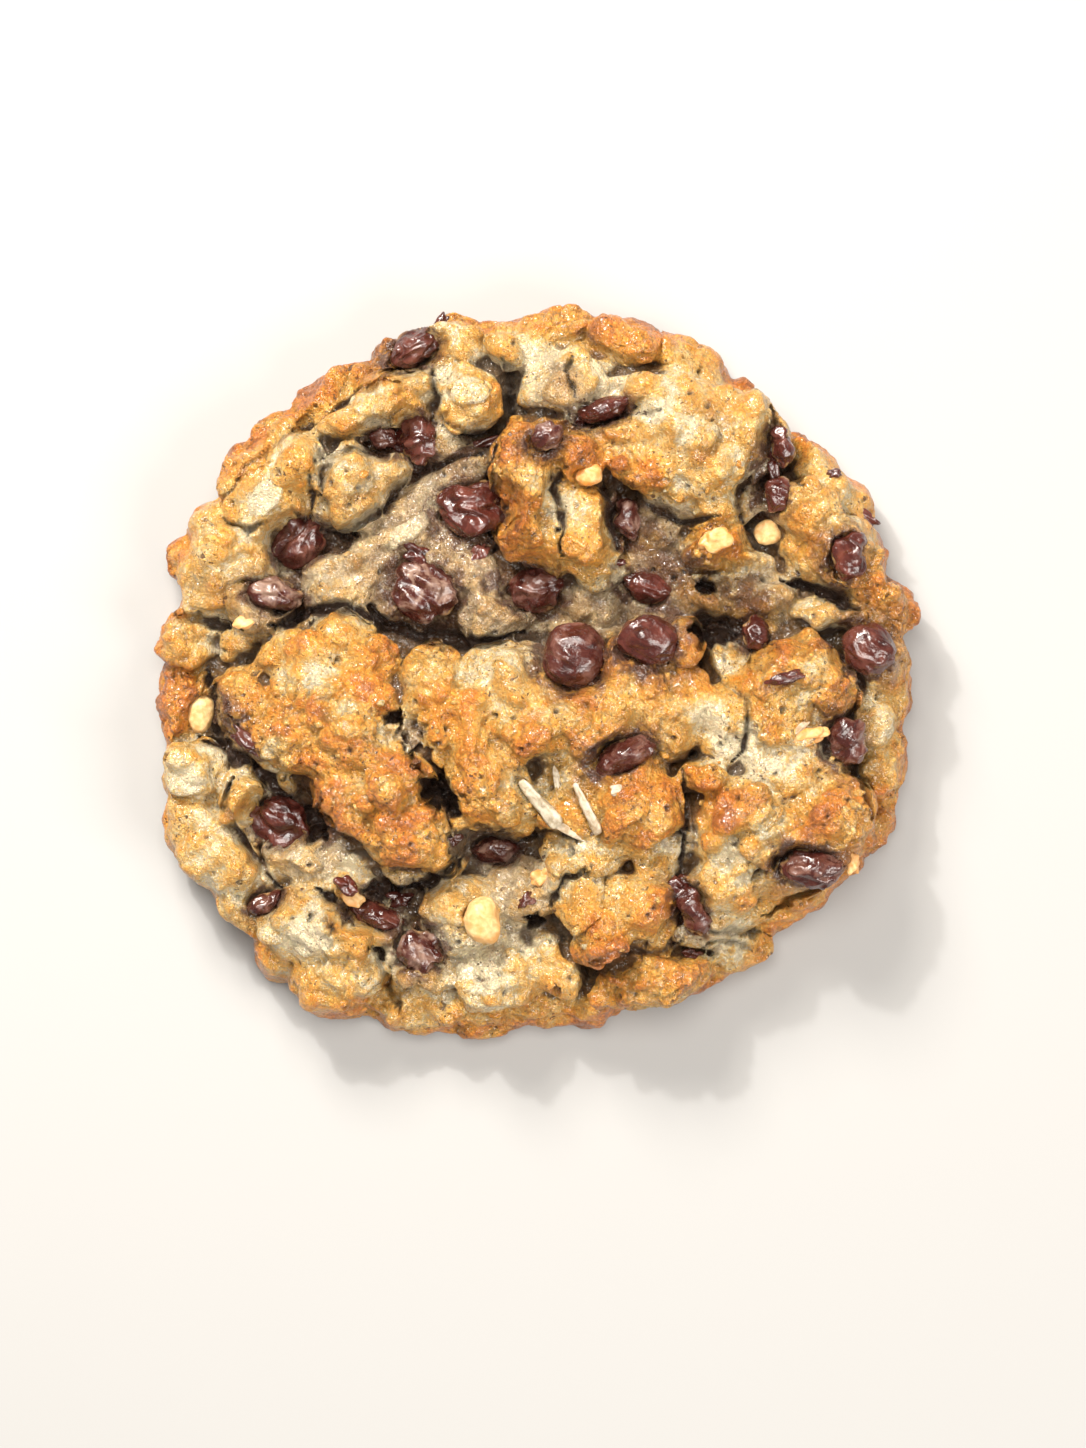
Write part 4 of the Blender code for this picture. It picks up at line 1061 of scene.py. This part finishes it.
def dough_material():
    """Baked dough: cream in the folds, gold to orange-brown on top, tan and moist by the chocolate, with painted
    shade in the pores, cracks, pinholes and deepest hollows and painted highlight and shade on the fine crinkles.
    """
    m = Nodes("baked_dough")
    brown, moist, relief, nodule = (m.layer(key) for key in ("brown", "moist", "relief", "nodule"))
    pit_shade, stain_and_shade, halo_and_shade, side, plate = (m.layer(key) for key in ("pit_shade", "stain_and_shade", "halo_and_shade", "side", "plate"))
    wide = m.noise(140, 3.0, 0.6)
    mid = m.noise(400, 4.0, 0.62)
    fine = m.noise(1800, 4.0, 0.7)
    crinkle = m.noise(1500, 3.0, 0.6, distort=2.2)
    thread = m.spread(m.math("ABSOLUTE", m.math("SUBTRACT", m.noise(1150, 2.0, 0.6, distort=1.4), 0.5)), 0.055, 0.0)
    crease = m.spread(m.math("ABSOLUTE", m.math("SUBTRACT", m.noise(640, 3.0, 0.6, distort=0.9), 0.5)), 0.045, 0.0)
    tone = m.math("MULTIPLY_ADD", brown, 0.78, 0.01)
    tone = m.math("ADD", tone, m.spread(relief, 0.30, 0.80, -0.07, 0.14))
    tone = m.math("ADD", tone, m.spread(nodule, 0.20, 0.90, -0.10, 0.13))
    tone = m.math("ADD", tone, m.spread(wide, 0.32, 0.68, -0.17, 0.17))
    tone = m.math("ADD", tone, m.spread(mid, 0.30, 0.70, -0.12, 0.12))
    tone = m.math("ADD", tone, m.spread(fine, 0.35, 0.65, -0.12, 0.12))
    # painted highlight and shade: threads raised in the bump below are made paler, creases cut into it browner
    tone = m.math("SUBTRACT", tone, m.math("MULTIPLY", thread, 0.07))
    tone = m.math("ADD", tone, m.math("MULTIPLY", crease, 0.10))
    tone = m.math("SUBTRACT", tone, m.math("MULTIPLY", plate, 0.24))
    tone = m.math("ADD", tone, m.math("MULTIPLY", side, 0.38), clamp=True)
    crust = m.ramp(tone, DOUGH_STOPS)
    wet = m.ramp(m.spread(mid, 0.3, 0.7), WET_STOPS)
    wet = m.mix(m.spread(brown, 0.10, 0.38, 0.0, 0.90), wet, (0.175, 0.072, 0.013))
    damp = m.math("MULTIPLY", m.spread(moist, 0.15, 0.85), m.spread(wide, 0.2, 0.55, 0.55, 1.0))
    damp = m.math("MAXIMUM", damp, m.math("MULTIPLY", m.math("MULTIPLY", halo_and_shade, 0.75), m.spread(wide, 0.38, 0.60)))
    damp = m.math("MULTIPLY", damp, m.spread(plate, 0.0, 1.0, 1.0, 0.25))
    colour = m.mix(m.math("MULTIPLY", damp, 0.86), crust, wet)
    grey = m.math("MULTIPLY", m.spread(halo_and_shade, 0.45, 1.0), m.spread(mid, 0.40, 0.62))
    colour = m.mix(m.math("MULTIPLY", grey, 0.50), colour, (0.22, 0.125, 0.068))
    # pale colour: painted highlight on the crinkle crests, and random pale flecks where the fine noise is high
    pale = m.mix(m.spread(tone, 0.20, 0.60), (0.95, 0.80, 0.52), (0.95, 0.56, 0.17))
    # random dark and pale flecks from the fine noise; painted shade in the crinkle valleys and painted highlight on
    # the crinkle crests, matching the crinkle bump
    colour = m.mix(m.spread(fine, 0.48, 0.30, 0.0, 0.42), colour, (0.30, 0.130, 0.040))
    colour = m.mix(m.spread(crinkle, 0.50, 0.28, 0.0, 0.40), colour, (0.34, 0.160, 0.050))
    colour = m.mix(m.spread(crinkle, 0.56, 0.72, 0.0, 0.36), colour, pale)
    colour = m.mix(m.spread(fine, 0.58, 0.74, 0.0, 0.38), colour, pale)
    # chocolate smears, and painted shade where smear rows lie in crevices
    smear_and_shade = m.math("MULTIPLY", m.spread(stain_and_shade, 0.15, 0.75), m.spread(mid, 0.36, 0.52))
    colour = m.mix(m.math("MULTIPLY", smear_and_shade, 0.85), colour, (0.080, 0.026, 0.018))
    # painted shade inside the pinholes, which are also pressed into the bump below
    clusters = m.spread(m.noise(210, 2.0), 0.44, 0.60)
    specks = m.math("MULTIPLY", m.spread(m.noise(1700, 2.0), 0.63, 0.70), clusters)
    large = m.math("MULTIPLY", m.spread(m.noise(700, 2.0), 0.655, 0.71), clusters)
    hole = m.math("MAXIMUM", specks, large)
    colour = m.mix(m.math("MULTIPLY", hole, 0.88), colour, (0.10, 0.034, 0.008))
    # painted shade, almost black, in the carved pores, torn places, grooves and crackle
    colour = m.mix(m.math("MULTIPLY", pit_shade, 0.92), colour, (0.028, 0.010, 0.004))
    # painted shade in the deepest hollows, where the dough lies well below its surroundings
    colour = m.mix(m.spread(relief, 0.22, 0.02, 0.0, 0.85), colour, (0.070, 0.027, 0.011))
    m.put(m.shader.inputs["Base Color"], colour)
    rough = m.spread(m.noise(700, 3.0, 0.6), 0.35, 0.65, 0.34, 0.62)
    rough = m.math("SUBTRACT", rough, m.math("MULTIPLY", damp, 0.26))
    m.put(m.shader.inputs["Roughness"], m.math("MAXIMUM", rough, 0.16))
    grain = m.math("MULTIPLY_ADD", m.noise(2600, 3.0, 0.65), 0.50, m.math("MULTIPLY", m.noise(1250, 4.0, 0.7), 0.75))
    grain = m.math("MULTIPLY_ADD", crinkle, 0.55, grain)
    grain = m.math("MULTIPLY_ADD", thread, 0.42, grain)
    grain = m.math("SUBTRACT", grain, m.math("MULTIPLY", crease, 0.34))
    crumbly = m.math("MULTIPLY", m.spread(m.cells(1150), 0.15, 0.60), m.spread(brown, 0.25, 0.60, 0.10, 0.35))
    grain = m.math("SUBTRACT", grain, crumbly)
    grain = m.math("SUBTRACT", grain, m.math("MULTIPLY", hole, 0.8))
    bumpy = m.bump(grain, 0.0007, 1.0)
    m.put(m.shader.inputs["Normal"], bumpy)
    glaze = m.math("ADD", m.noise(950, 1.0, 0.5, distort=1.3), m.math("MULTIPLY", hole, -0.5))
    m.put(m.shader.inputs["Coat Normal"], m.bump(glaze, 0.00045, 1.0))
    m.shader.inputs["Coat Weight"].default_value = 0.75
    m.shader.inputs["Coat Roughness"].default_value = 0.09
    m.shader.inputs["Subsurface Weight"].default_value = 0.10
    m.shader.inputs["Subsurface Radius"].default_value = (0.0016, 0.0009, 0.0004)
    m.shader.inputs["Subsurface Scale"].default_value = 1.0
    m.shader.inputs["Specular IOR Level"].default_value = 0.55
    return m.material


def chocolate_material():
    """Softened chocolate: red-brown and shiny, with greyish bloom and dough rubbed on it."""
    m = Nodes("soft_chocolate")
    bloom, rub = m.layer("bloom"), m.layer("rub")
    mid = m.noise(380, 3.0, 0.6, distort=0.6)
    fine = m.noise(1300, 3.0, 0.6)
    base = m.ramp(mid, [(0.25, (0.020, 0.004, 0.003)), (0.52, (0.064, 0.012, 0.008)), (0.8, (0.150, 0.034, 0.022))])
    film = m.math("MULTIPLY", m.math("POWER", bloom, 2.0), m.spread(mid, 0.44, 0.68))
    colour = m.mix(m.math("MULTIPLY", film, 0.55), base, (0.38, 0.27, 0.20))
    dab = m.math("MULTIPLY", rub, m.spread(m.noise(700, 3.0, 0.6), 0.42, 0.56))
    colour = m.mix(dab, colour, (0.46, 0.27, 0.11))
    m.put(m.shader.inputs["Base Color"], colour)
    rough = m.math("ADD", m.spread(fine, 0.3, 0.7, 0.14, 0.26), m.math("MULTIPLY", m.math("ADD", film, dab), 0.22))
    m.put(m.shader.inputs["Roughness"], rough)
    folds = m.math("MULTIPLY_ADD", m.noise(900, 3.0, 0.6, distort=0.8), 0.8, m.math("MULTIPLY", m.noise(2600, 2.0), 0.2))
    m.put(m.shader.inputs["Normal"], m.bump(folds, 0.00035, 0.75))
    m.shader.inputs["Specular IOR Level"].default_value = 0.5
    m.shader.inputs["Coat Weight"].default_value = 0.50
    m.shader.inputs["Coat Roughness"].default_value = 0.05
    return m.material


def pale_material(name, low, high, rough, sub):
    """Nut flesh or flake: pale, faintly grained, a little see-through, toasted in places."""
    m = Nodes(name)
    toast = m.layer("toast")
    grain = m.noise(900, 4.0, 0.6, distort=0.5)
    wide = m.noise(260, 2.0)
    mixed = m.math("ADD", m.math("MULTIPLY", grain, 0.6), m.math("MULTIPLY", wide, 0.4))
    colour = m.mix(m.spread(mixed, 0.35, 0.65), low, high)
    colour = m.mix(m.math("MULTIPLY", toast, m.spread(mixed, 0.40, 0.62, 1.0, 0.35)), colour, (0.62, 0.235, 0.045))
    m.put(m.shader.inputs["Base Color"], colour)
    m.put(m.shader.inputs["Roughness"], m.spread(grain, 0.3, 0.7, rough - 0.1, rough + 0.1))
    m.put(m.shader.inputs["Normal"], m.bump(grain, 0.0002, 0.6))
    m.shader.inputs["Subsurface Weight"].default_value = sub
    m.shader.inputs["Subsurface Radius"].default_value = (0.0015, 0.001, 0.0006)
    m.shader.inputs["Subsurface Scale"].default_value = 1.0
    return m.material


# ---------------------------------------------------------------- pieces


def mesh_object(name, points, faces, material, where=None, layers=None):
    mesh = bpy.data.meshes.new(name)
    mesh.from_pydata((points * MM).tolist(), [], faces)
    mesh.polygons.foreach_set("use_smooth", [True] * len(mesh.polygons))
    for key, values in (layers or {}).items():
        put_layer(mesh, key, values)
    mesh.materials.append(material)
    thing = bpy.data.objects.new(name, mesh)
    bpy.context.scene.collection.objects.link(thing)
    return thing


def make_chip(name, centre, half, turn, look, bloom, material, ball):
    """A softened chip: round drop, wrinkled melted lump or broken bit, by `look`."""
    base, faces = ball
    seed = int(name[-2:]) * 13
    p = base.copy()
    lean = np.array((math.sin(seed), math.cos(seed * 1.7)))
    angle = np.arctan2(p[:, 1], p[:, 0])
    ring = np.stack([np.cos(angle) * 1.5, np.sin(angle) * 1.5, np.full(len(p), seed * 1.0)], axis=1)
    wobble = smooth_noise(ring, 1.3, seed)
    uneven = {"drop": 0.07, "melted": 0.20, "bit": 0.22}[look]
    shape = p * half
    shape[:, :2] *= (1 + uneven * wobble)[:, None]
    shape[:, :2] += lean * (0.12 * half[1]) * np.clip(p[:, 2:3], 0, 1)
    size = min(half[1], 3.6)
    if look == "drop":
        off = lean * 0.18
        point = np.exp(-((p[:, 0] - off[0]) ** 2 + (p[:, 1] - off[1]) ** 2) / 0.05) * (p[:, 2] > 0)
        shape[:, 2] += point * 0.10 * half[2]
        folds, lumps = 0.09, 0.08
    elif look == "melted":
        folds, lumps = 0.17, 0.16
    else:
        folds, lumps = 0.12, 0.16
    local = shape * (0.55, 1.0, 1.0) + seed
    soft = smooth_noise(local, size * 1.1, seed)
    bentover = local + np.stack([smooth_noise(local, size, seed + 20 + k) for k in range(3)], axis=1) * 0.5 * size
    ridge = 1 - 2 * np.abs(smooth_noise(bentover, size * 0.75, seed + 3))
    wrinkle = 1 - 2 * np.abs(smooth_noise(bentover, size * 0.34, seed + 5))
    out = p / np.array(half)
    out /= np.linalg.norm(out, axis=1)[:, None]
    shape += out * (size * (soft * lumps + (ridge - 0.5) * folds + (wrinkle - 0.5) * folds * 0.25))[:, None]
    low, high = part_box(name)
    final = turned(shape, turn) + centre
    final[:, 2] = np.minimum(final[:, 2], high.z / MM + 0.4)
    height = (final[:, 2] - centre[2]) / half[2]
    rub = step(0.25, -0.25, height)
    thing = mesh_object(
        name + "_soft", final, faces, material, layers={"bloom": np.full(len(p), bloom), "rub": rub}
    )
    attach(thing, "root")
    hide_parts(name)
    return thing


def extras_frames():
    """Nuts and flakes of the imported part: name, centre, half sizes, turn."""
    rows = []
    for table, prefix in ((NUTS, "nut"), (FLAKES, "flake")):
        for number, (x, y, half_length, half_width, turn) in enumerate(table, start=1):
            name = f"{prefix}_{number:02d}"
            low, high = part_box(name)
            centre = np.array(((low.x + high.x) / 2, (low.y + high.y) / 2, (low.z + high.z) / 2)) / MM
            rows.append((name, centre, (half_length, half_width, (high.z - low.z) / 2 / MM), turn))
    return rows


def make_extra(name, centre, half, turn, material, ball):
    """A nut piece or a flake, with worn, uneven faces."""
    base, faces = ball
    squareness = 4.0 if name.startswith("flake") else 2.3
    push = (np.abs(base) ** squareness).sum(axis=1) ** (-1 / squareness)
    shape = base * push[:, None] * half
    if name.startswith("flake"):
        shape[:, 1] *= 0.85 + 0.35 * base[:, 0]
        shape[:, 2] += 0.25 * np.sin(shape[:, 1] * 2.4)
    else:
        shape[:, 0] += 0.22 * half[0] * (shape[:, 1] / half[1]) ** 2 - 0.1 * half[0]
    world = turned(shape, turn) + centre
    out = base / np.array(half)
    out /= np.linalg.norm(out, axis=1)[:, None]
    shape += out * (rough_noise(world, 2.2, 7, 3) * 0.28)[:, None] * min(1.0, half[1] / 1.5)
    final = turned(shape, turn) + centre
    toast = np.full(len(final), TOASTED.get(name, 0.15))
    thing = mesh_object(name + "_fine", final, faces, material, layers={"toast": toast})
    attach(thing, "root")
    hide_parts(name)
    return thing


def blob(ball, half, turn, tip, seed, uneven):
    """One small irregular piece, about its own centre (mm)."""
    base, faces = ball
    push = (np.abs(base) ** 2.6).sum(axis=1) ** (-1 / 2.6)
    lumps = 1 + uneven * smooth_noise(base * 1.3 + seed * 3.7, 1.0, seed)
    shape = base * (push * lumps)[:, None] * half
    tipped = shape.copy()
    c, s = math.cos(tip), math.sin(tip)
    tipped[:, 0] = shape[:, 0] * c + shape[:, 2] * s
    tipped[:, 2] = shape[:, 2] * c - shape[:, 0] * s
    return turned(tipped, turn)


def lay_on(dough, name, rows, ball, material, layers, lowest=3.0):
    """Join small pieces laid on the dough: x, y, half sizes, turn, tip, sink, seed, unevenness."""
    points, faces, tags, start = [], [], [], 0
    for x, y, half, turn, tip, sink, seed, uneven in rows:
        hit, spot, normal, _ = dough.ray_cast(Vector((x, y, 60.0)) * MM, Vector((0, 0, -1)))
        if not hit or spot.z < lowest * MM:
            continue
        shape = blob(ball, half, turn, tip, seed, uneven)
        lift = half[2] * (1 - 2 * sink)
        points.append(shape + np.array(spot) / MM + np.array(normal) * lift)
        faces.append(np.array(ball[1]) + start)
        tags.append(np.full(len(shape), (seed * 37 % 101) / 101.0))
        start += len(shape)
    tag = np.concatenate(tags)
    thing = mesh_object(
        name, np.concatenate(points), np.concatenate(faces).tolist(), material, layers={key: low + (high - low) * tag for key, low, high in layers}
    )
    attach(thing, "root")
    return thing


def crumb_rows():
    """Where the crumbs lie: scattered over the top, more of them near the torn slabs."""
    rows = []
    for number in range(260):
        pick = [float(lattice(np.array(number), np.array(k), np.array(5), 17)) for k in range(6)]
        reach = 49.5 * math.sqrt(pick[0])
        angle = math.tau * pick[1]
        x, y = reach * math.cos(angle), reach * math.sin(angle) * 0.96
        patchy = float(smooth_noise(np.array([[x, y, 0.0]]), 9.0, 171)[0])
        if patchy + 0.5 * pick[2] < 0.12:
            continue
        size = 0.22 + 0.42 * pick[3] ** 2.5
        rows.append((x, y, (size * (1 + 0.7 * pick[4]), size, size * 0.8), 360 * pick[5], 0.6 * pick[2], 0.35, number, 0.5))
    return rows


def add_lights_and_camera():
    scene = bpy.context.scene
    world = bpy.data.worlds.new("studio")
    world.use_nodes = True
    world.node_tree.nodes["Background"].inputs["Color"].default_value = (1.0, 0.965, 0.91, 1.0)
    world.node_tree.nodes["Background"].inputs["Strength"].default_value = WORLD_LIGHT
    scene.world = world
    scene.view_settings.view_transform = "Standard"
    for name, direction, distance, size, power, colour in LIGHTS:
        lamp = bpy.data.lights.new(name, "AREA")
        lamp.shape = "DISK"
        lamp.size = size
        lamp.energy = power
        lamp.color = colour
        thing = bpy.data.objects.new(name, lamp)
        way = Vector(direction).normalized()
        thing.location = way * distance
        thing.rotation_euler = way.to_track_quat("Z", "Y").to_euler()
        scene.collection.objects.link(thing)
    lens = bpy.data.cameras.new("camera")
    lens.lens = 106.0
    lens.sensor_width = 36.0
    camera = bpy.data.objects.new("camera", lens)
    camera.location = (0.00085, -0.0074, 0.620)
    scene.collection.objects.link(camera)
    scene.camera = camera


def add_floor():
    """A plain pale table top."""
    body = bmesh.new()
    bmesh.ops.create_grid(body, x_segments=2, y_segments=2, size=1.5)
    floor = new_object("floor", body)
    m = Nodes("pale_floor")
    m.shader.inputs["Base Color"].default_value = (0.385, 0.378, 0.372, 1.0)
    m.shader.inputs["Roughness"].default_value = 0.8
    floor.data.materials.append(m.material)
    floor.location.z = -0.00002


def main():
    add_lights_and_camera()
    add_floor()
    chips = chip_frames()
    dough = fine_dough(chips)
    low, high = (np.array(corner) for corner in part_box("dough"))
    fit_to_box(dough, low, high)
    flatten_underside(dough)
    dough.data.materials.clear()
    dough.data.materials.append(dough_material())
    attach(dough, "root")
    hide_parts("dough")
    chocolate = chocolate_material()
    ball = unit_ball(5)
    for row in chips:
        make_chip(*row, chocolate, ball)
    nut = pale_material("nut_flesh", (0.56, 0.34, 0.125), (0.76, 0.55, 0.27), 0.45, 0.15)
    flake = pale_material("pale_flake", (0.28, 0.215, 0.135), (0.60, 0.53, 0.41), 0.3, 0.15)
    small_ball = unit_ball(5)
    for name, centre, half, turn in extras_frames():
        make_extra(name, centre, half, turn, nut if name.startswith("nut") else flake, small_ball)
    bpy.context.view_layer.update()
    grain_ball, bit_ball = unit_ball(2), unit_ball(4)
    crumb_layers = [("brown", 0.25, 0.55), ("nodule", 0.4, 0.6), ("relief", 0.5, 0.6)]
    lay_on(dough, "crumbs", crumb_rows(), grain_ball, dough.data.materials[0], crumb_layers, 17.0)
    lay_on(dough, "chocolate_bits", CHOCOLATE_BITS, bit_ball, chocolate, [("bloom", 0.0, 0.5)])
    lay_on(dough, "nut_bits", NUT_BITS, bit_ball, nut, [("toast", 0.5, 0.95)])
    lay_on(dough, "shards", SHARDS, bit_ball, flake, [("toast", 0.0, 0.2)])


main()
